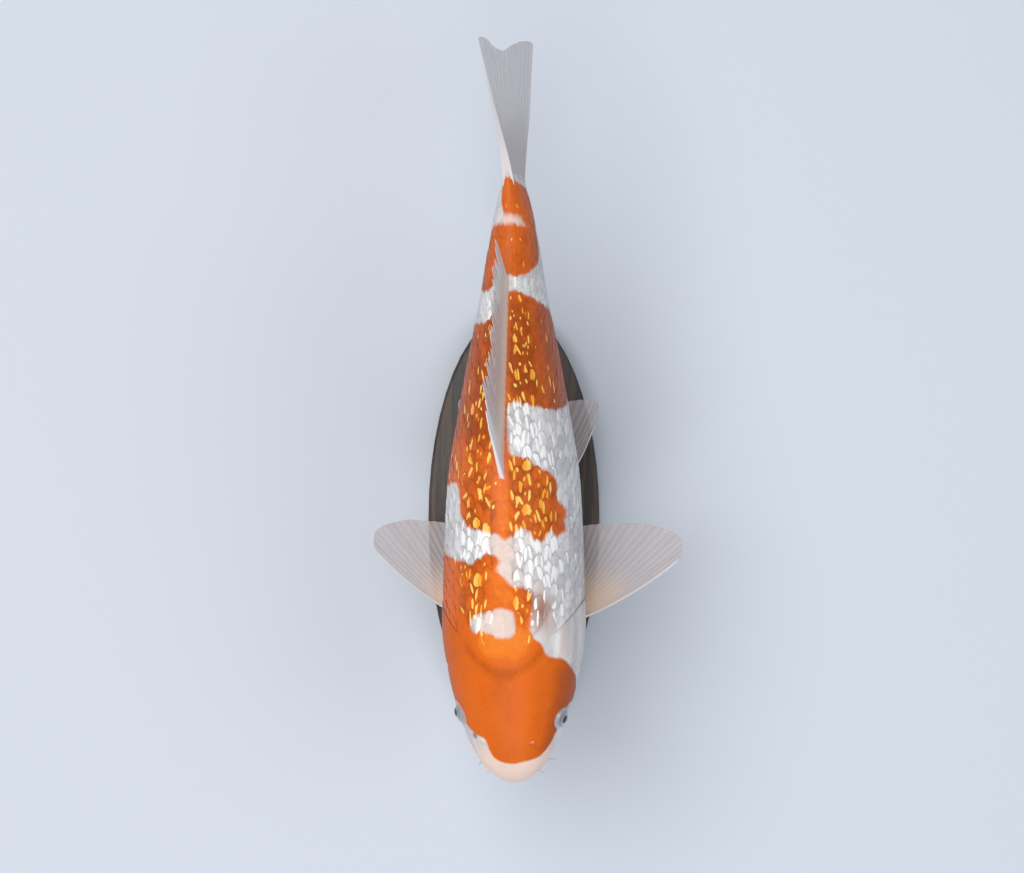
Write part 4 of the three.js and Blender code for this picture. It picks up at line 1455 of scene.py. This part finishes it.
def fin_points(fin, share, reach, phase):
    """Where a fin's points are before it has a thickness."""
    turn = np.radians(fin["angle"](share))[:, None]
    outwards = unit(fin["out"](share))
    face = unit(np.cross(outwards, REARWARDS))
    along = outwards * np.cos(turn) + REARWARDS * np.sin(turn)
    aside = -outwards * np.sin(turn) + REARWARDS * np.cos(turn)
    full_length = fin["length"](share)

    # The outline: a notch between each two rays, and rounded corners.
    wander = 0.3 * np.sin(37 * share) + 0.2 * np.sin(83 * share + 1)
    notch = ease(reach, 0.75, 1.0) * (1 - hump(phase, 0.5, 0.32) + wander)
    inset = 1 - np.clip(np.minimum(share, 1 - share) / fin["corners"], 0, 1)
    corner = 1 - np.sqrt(1 - inset**2)
    length = full_length * (1 - fin["notch"] * notch - fin["corner"] * corner)

    sway = full_length * fin["bend"] + fin["wave"] * np.sin(share * WAVES)
    ripple = 0.28 * np.sin(2 * math.pi * share * fin["rays"] / 3 + 2 * reach) * ease(reach, 0.35, 1)
    carried = np.maximum(reach, 0) ** 2 * sway + ripple
    points = fin["roots"](share) + along * (length * reach)[:, None]
    points = points + aside * (length * fin["curl"](share) * reach**2)[:, None]
    return points + face * carried[:, None]


def thicken(piece, thickness):
    """Turns a sheet into a closed body with a thickness, in millimetres, for each of the sheet's points."""
    thickest = float(thickness.max())
    group = piece.vertex_groups.new(name="thickness")
    for index, value in enumerate(thickness / thickest):
        group.add([index], float(value), "REPLACE")
    select_only(piece)
    solidify = piece.modifiers.new("thickness", "SOLIDIFY")
    solidify.thickness = thickest * MM
    solidify.offset = 0
    solidify.vertex_group = "thickness"
    solidify.thickness_vertex_group = 0
    solidify.use_even_offset = False
    bpy.ops.object.modifier_apply(modifier="thickness")
    piece.vertex_groups.clear()


def make_fin(node, own_form, settings, material):
    """A fin from a sheet: forking rays with a thin web between them and a thick first ray and root."""
    fin = FIN_DEFAULTS | own_form
    piece, share, out = sheet("rayed_" + node, fin["rays"] * settings.columns_per_ray, fin["rows"])
    reach = mix(-ROOT_OVERRUN, 1, out)
    phase = np.where(share > 1 - 1e-6, 1.0, (share * fin["rays"]) % 1.0)
    set_points(piece, fin_points(fin, share, reach, phase))

    relief = fin["ray_height"] * ray_relief(phase, reach) * ease(reach, *fin["rays_from"])
    leading = fin["lead"] * hump(share, 0, fin["leading"] + 0.2 / fin["rays"])
    if fin["two_edged"]:
        leading = np.maximum(leading, leading[::-1])
    deep = np.clip(reach, 0, 1)
    web, ridge = settings.web / MM, settings.ridge / MM
    core = (fin["thick"] - web - 2 * ridge) * (1 - deep) ** 2.2
    thickness = web + core + 2 * ridge * relief * (1 - 0.72 * deep) + 0.9 * leading * (1 - 0.8 * deep)
    set_map(piece, "fin", share, out)
    set_attributes(
        piece,
        ray=np.clip(relief + leading, 0, 1),
        reach=deep,
        lead=np.clip(leading * fin["edge"], 0, 1),
        warmth=fin["warmth"],
        pale=fin["pale"],
        body=fin["body"],
    )
    thicken(piece, thickness)
    smooth_faces(piece, 60)
    finish_piece(piece, material, (node,))


class KOI_OT_paired_fins(bpy.types.Operator):
    """The fins behind the gills and under the belly, each a fan of forking rays"""

    bl_idname = "koi.paired_fins"
    bl_label = "Paired Fins"

    def execute(self, context):
        material = fin_material(context.scene.koi_finish)
        context.scene.koi_fin_material = material
        fins = {
            "pectoral_fin_left": pectoral_fin(1, 9, 0, 1),
            "pectoral_fin_right": pectoral_fin(-1, 15, 5, 0.97),
            "pelvic_fin_left": pelvic_fin(1, 22, -1),
            "pelvic_fin_right": pelvic_fin(-1, 25, 2),
        }
        for node, form in fins.items():
            make_fin(node, form, context.scene.koi_fins, material)
        return {"FINISHED"}


class KOI_OT_middle_fins(bpy.types.Operator):
    """The fins of the back, vent and tail, in the material of the paired fins"""

    bl_idname = "koi.middle_fins"
    bl_label = "Middle Fins"

    def execute(self, context):
        material = context.scene.koi_fin_material
        if not material:
            raise RuntimeError("The paired fins, which bring the fins' material, come first")
        fins = {"dorsal_fin": dorsal_fin(), "anal_fin": anal_fin(), "tail_fin": tail_fin()}
        for node, form in fins.items():
            make_fin(node, form, context.scene.koi_fins, material)
        return {"FINISHED"}


# ---- Eyes ----


class KOI_OT_eyes(bpy.types.Operator):
    """Eyeballs with a raised lens, a dished iris and a clear wet surface"""

    bl_idname = "koi.eyes"
    bl_label = "Eyes"

    def execute(self, context):
        material = eye_material(context.scene.koi_finish)
        for name in SIDES:
            self.eyeball(name, context.scene.koi_eyes.lens_bulge / MM, material)
        return {"FINISHED"}

    def eyeball(self, name, bulge, material):
        deselect()
        bpy.ops.mesh.primitive_uv_sphere_add(segments=48, ring_count=44, radius=1)
        piece = bpy.context.object
        piece.name = f"eyeball_{name}"
        drop_maps(piece)
        ball = read_points(piece)
        from_axis = np.degrees(np.arccos(np.clip(ball[:, 2], -1, 1)))
        pupil_edge = math.degrees(math.asin(PUPIL_EDGE / EYE_RADIUS))
        radius = EYE_RADIUS - bulge * ease(from_axis, 0.55 * pupil_edge, pupil_edge + 1)
        radius = radius - 0.3 * hump(from_axis, pupil_edge + 9, 7) + 0.12 * hump(from_axis, 40, 4)
        centre, axis = eye_centre(name)
        axis = unit(axis + EYE_TURN[name] * REARWARDS)
        side = unit(np.cross(axis, REARWARDS))
        turned = ball @ np.stack([side, np.cross(side, axis), axis])
        set_points(piece, centre + turned * radius[:, None])
        around = np.arctan2(ball[:, 1], ball[:, 0]) / (2 * math.pi) + 0.5
        set_map(piece, "iris", np.abs(2 * around - 1), from_axis / 180)
        away = EYE_RADIUS * np.where(from_axis < 90, np.sin(np.radians(from_axis)), 1)
        set_attributes(piece, from_axis=away)
        close_up(piece)
        smooth_faces(piece)
        finish_piece(piece, material, (f"eye_{name}",))


# ---- Barbels ----

# Each pair's root on the body, its size, and how far the tip of each one hangs rearwards and down.
BARBELS = {
    "rear": dict(
        station=12.5, degrees=114, length=7.0, radius=0.95, sweep={"left": 2.6, "right": -1.5}, droop=6.0
    ),
    "front": dict(
        station=6.5, degrees=102, length=4.7, radius=0.75, sweep={"left": 0.6, "right": 0.6}, droop=3.0
    ),
}
BARBEL_UNEVENNESS = 1.5  # how much lower the left tips hang, and how much higher the right ones
BARBEL_ROOT = 1.5  # depth of a barbel's root in the body


class KOI_OT_barbels(bpy.types.Operator):
    """Four soft tapering feelers at the corners of the mouth"""

    bl_idname = "koi.barbels"
    bl_label = "Barbels"

    def execute(self, context):
        material = barbel_material(context.scene.koi_finish)
        for pair, sizes in BARBELS.items():
            for name in SIDES:
                self.barbel(pair, name, sizes, material)
        return {"FINISHED"}

    def barbel(self, pair, name, sizes, material):
        piece, around, out = sheet(f"feeler_{pair}_{name}", 16, 26)
        angle = np.radians(SIDES[name] * sizes["degrees"])
        normal = outward(sizes["station"], angle)
        root = on_body(sizes["station"], angle) - BARBEL_ROOT * normal
        drop = sizes["droop"] + SIDES[name] * BARBEL_UNEVENNESS
        bend = np.array([0, sizes["sweep"][name], -drop])
        centre = root + normal * (out * sizes["length"])[:, None] + bend * (out**2)[:, None]
        rounding = np.sqrt(1 - np.clip((out - 0.93) / 0.07, 0, 1) ** 2) * (out > 0)
        swell = 1 + 0.5 * (1 - ease(out, 0.05, 0.35))
        thickness = sizes["radius"] * (1 - 0.55 * out) * rounding * swell
        across = unit(np.cross(REARWARDS, normal))
        upright = np.cross(normal, across)
        turn = 2 * math.pi * around
        ring = across * np.cos(turn)[:, None] + upright * np.sin(turn)[:, None]
        set_points(piece, centre + ring * thickness[:, None])
        set_attributes(piece, reach=out)
        close_up(piece)
        smooth_faces(piece)
        finish_piece(piece, material, (f"barbel_{pair}_{name}",))


# ---- Stand ----


class KOI_OT_stand(bpy.types.Operator):
    """Satin wood for the base and brushed steel for the rods"""

    bl_idname = "koi.stand"
    bl_label = "Stand"

    def execute(self, context):
        finish = context.scene.koi_finish
        wood, steel = wood_material(finish), steel_material(finish)
        for node, material in {"stand_base": wood, "stand_rod_front": steel, "stand_rod_rear": steel}.items():
            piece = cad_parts[node]
            if not piece.material_slots:
                raise RuntimeError(f"{node} has no material slot")
            for slot in piece.material_slots:
                slot.material = material
        return {"FINISHED"}


# ---- Stage ----

FLOOR_SIZE = 14  # metres
SENSOR_WIDTH = 36  # millimetres
CAMERA_PLACE = (-0.00107, 0.04607)  # metres, across and along the model
LAMPS_LOOK_AT = (0, 0.04, AXIS_HEIGHT * MM)


def add_object(name, data, location):
    holder = bpy.data.objects.new(name, data)
    holder.location = location
    bpy.context.scene.collection.objects.link(holder)
    return holder


def add_lamp(name, location, size, power, colour):
    lamp = bpy.data.lights.new(name, "AREA")
    lamp.shape = "DISK"
    lamp.size = size
    lamp.energy = power
    lamp.color = colour
    holder = add_object(name, lamp, location)
    holder.rotation_euler = (Vector(LAMPS_LOOK_AT) - Vector(location)).to_track_quat("-Z", "Y").to_euler()
    holder.visible_camera = False


class KOI_OT_stage(bpy.types.Operator):
    """A pale floor, soft lamps and a camera that looks straight down on the back"""

    bl_idname = "koi.stage"
    bl_label = "Stage"

    def execute(self, context):
        settings = context.scene.koi_stage
        deselect()
        bpy.ops.mesh.primitive_plane_add(size=FLOOR_SIZE)
        floor = bpy.context.object
        floor.name = "studio_floor"
        floor.data.materials.append(floor_material(context.scene.koi_finish))

        add_lamp("key_lamp", (-1.15, 0.85, 3.0), 3.0, settings.key_power, (1.0, 0.985, 0.96))
        add_lamp("fill_lamp", (2.0, -0.25, 2.4), 2.0, settings.fill_power, (0.93, 0.96, 1.0))
        add_lamp("front_lamp", (-0.25, -2.2, 1.9), 1.6, settings.front_power, (1.0, 0.99, 0.97))
        world = bpy.data.worlds.new("studio_sky")
        world.use_nodes = True
        sky = world.node_tree.nodes["Background"]
        sky.inputs["Color"].default_value = (0.90, 0.94, 1.0, 1)
        sky.inputs["Strength"].default_value = settings.sky
        context.scene.world = world
        context.scene.view_settings.view_transform = "Standard"

        camera = bpy.data.cameras.new("studio_camera")
        camera.lens = settings.lens
        camera.sensor_width = SENSOR_WIDTH
        camera.clip_start = 0.05
        context.scene.camera = add_object("studio_camera", camera, (*CAMERA_PLACE, settings.camera_height))
        return {"FINISHED"}


# ---- Panel and registration ----

# In the order in which main() runs them.
OPERATORS = [
    KOI_OT_stage, KOI_OT_skin, KOI_OT_scales, KOI_OT_paired_fins, KOI_OT_middle_fins, KOI_OT_eyes,
    KOI_OT_barbels, KOI_OT_stand,
]
SETTINGS = {
    "koi_skin": KoiSkinSettings,
    "koi_scales": KoiScaleSettings,
    "koi_fins": KoiFinSettings,
    "koi_eyes": KoiEyeSettings,
    "koi_finish": KoiFinishSettings,
    "koi_stage": KoiStageSettings,
}


class KOI_PT_panel(bpy.types.Panel):
    """The koi's operators and settings"""

    bl_idname = "KOI_PT_panel"
    bl_label = "Koi Carp"
    bl_space_type = "VIEW_3D"
    bl_region_type = "UI"
    bl_category = "Koi Carp"

    def draw(self, context):
        for operator in OPERATORS:
            self.layout.operator(operator.bl_idname)
        for name in SETTINGS:
            settings = getattr(context.scene, name)
            box = self.layout.box()
            for key in settings.bl_rna.properties.keys():
                if key not in ("rna_type", "name"):
                    box.prop(settings, key)


def register():
    for kind in (*SETTINGS.values(), *OPERATORS, KOI_PT_panel):
        bpy.utils.register_class(kind)
    for name, kind in SETTINGS.items():
        setattr(bpy.types.Scene, name, PointerProperty(type=kind))
    bpy.types.Scene.koi_fin_material = PointerProperty(type=bpy.types.Material)


def unregister():
    del bpy.types.Scene.koi_fin_material
    for name in SETTINGS:
        delattr(bpy.types.Scene, name)
    for kind in (KOI_PT_panel, *reversed(OPERATORS), *SETTINGS.values()):
        bpy.utils.unregister_class(kind)


def main():
    register()
    bpy.ops.koi.stage()
    bpy.ops.koi.skin()
    bpy.ops.koi.scales()
    bpy.ops.koi.paired_fins()
    bpy.ops.koi.middle_fins()
    bpy.ops.koi.eyes()
    bpy.ops.koi.barbels()
    bpy.ops.koi.stand()


if __name__ == "__main__":
    main()
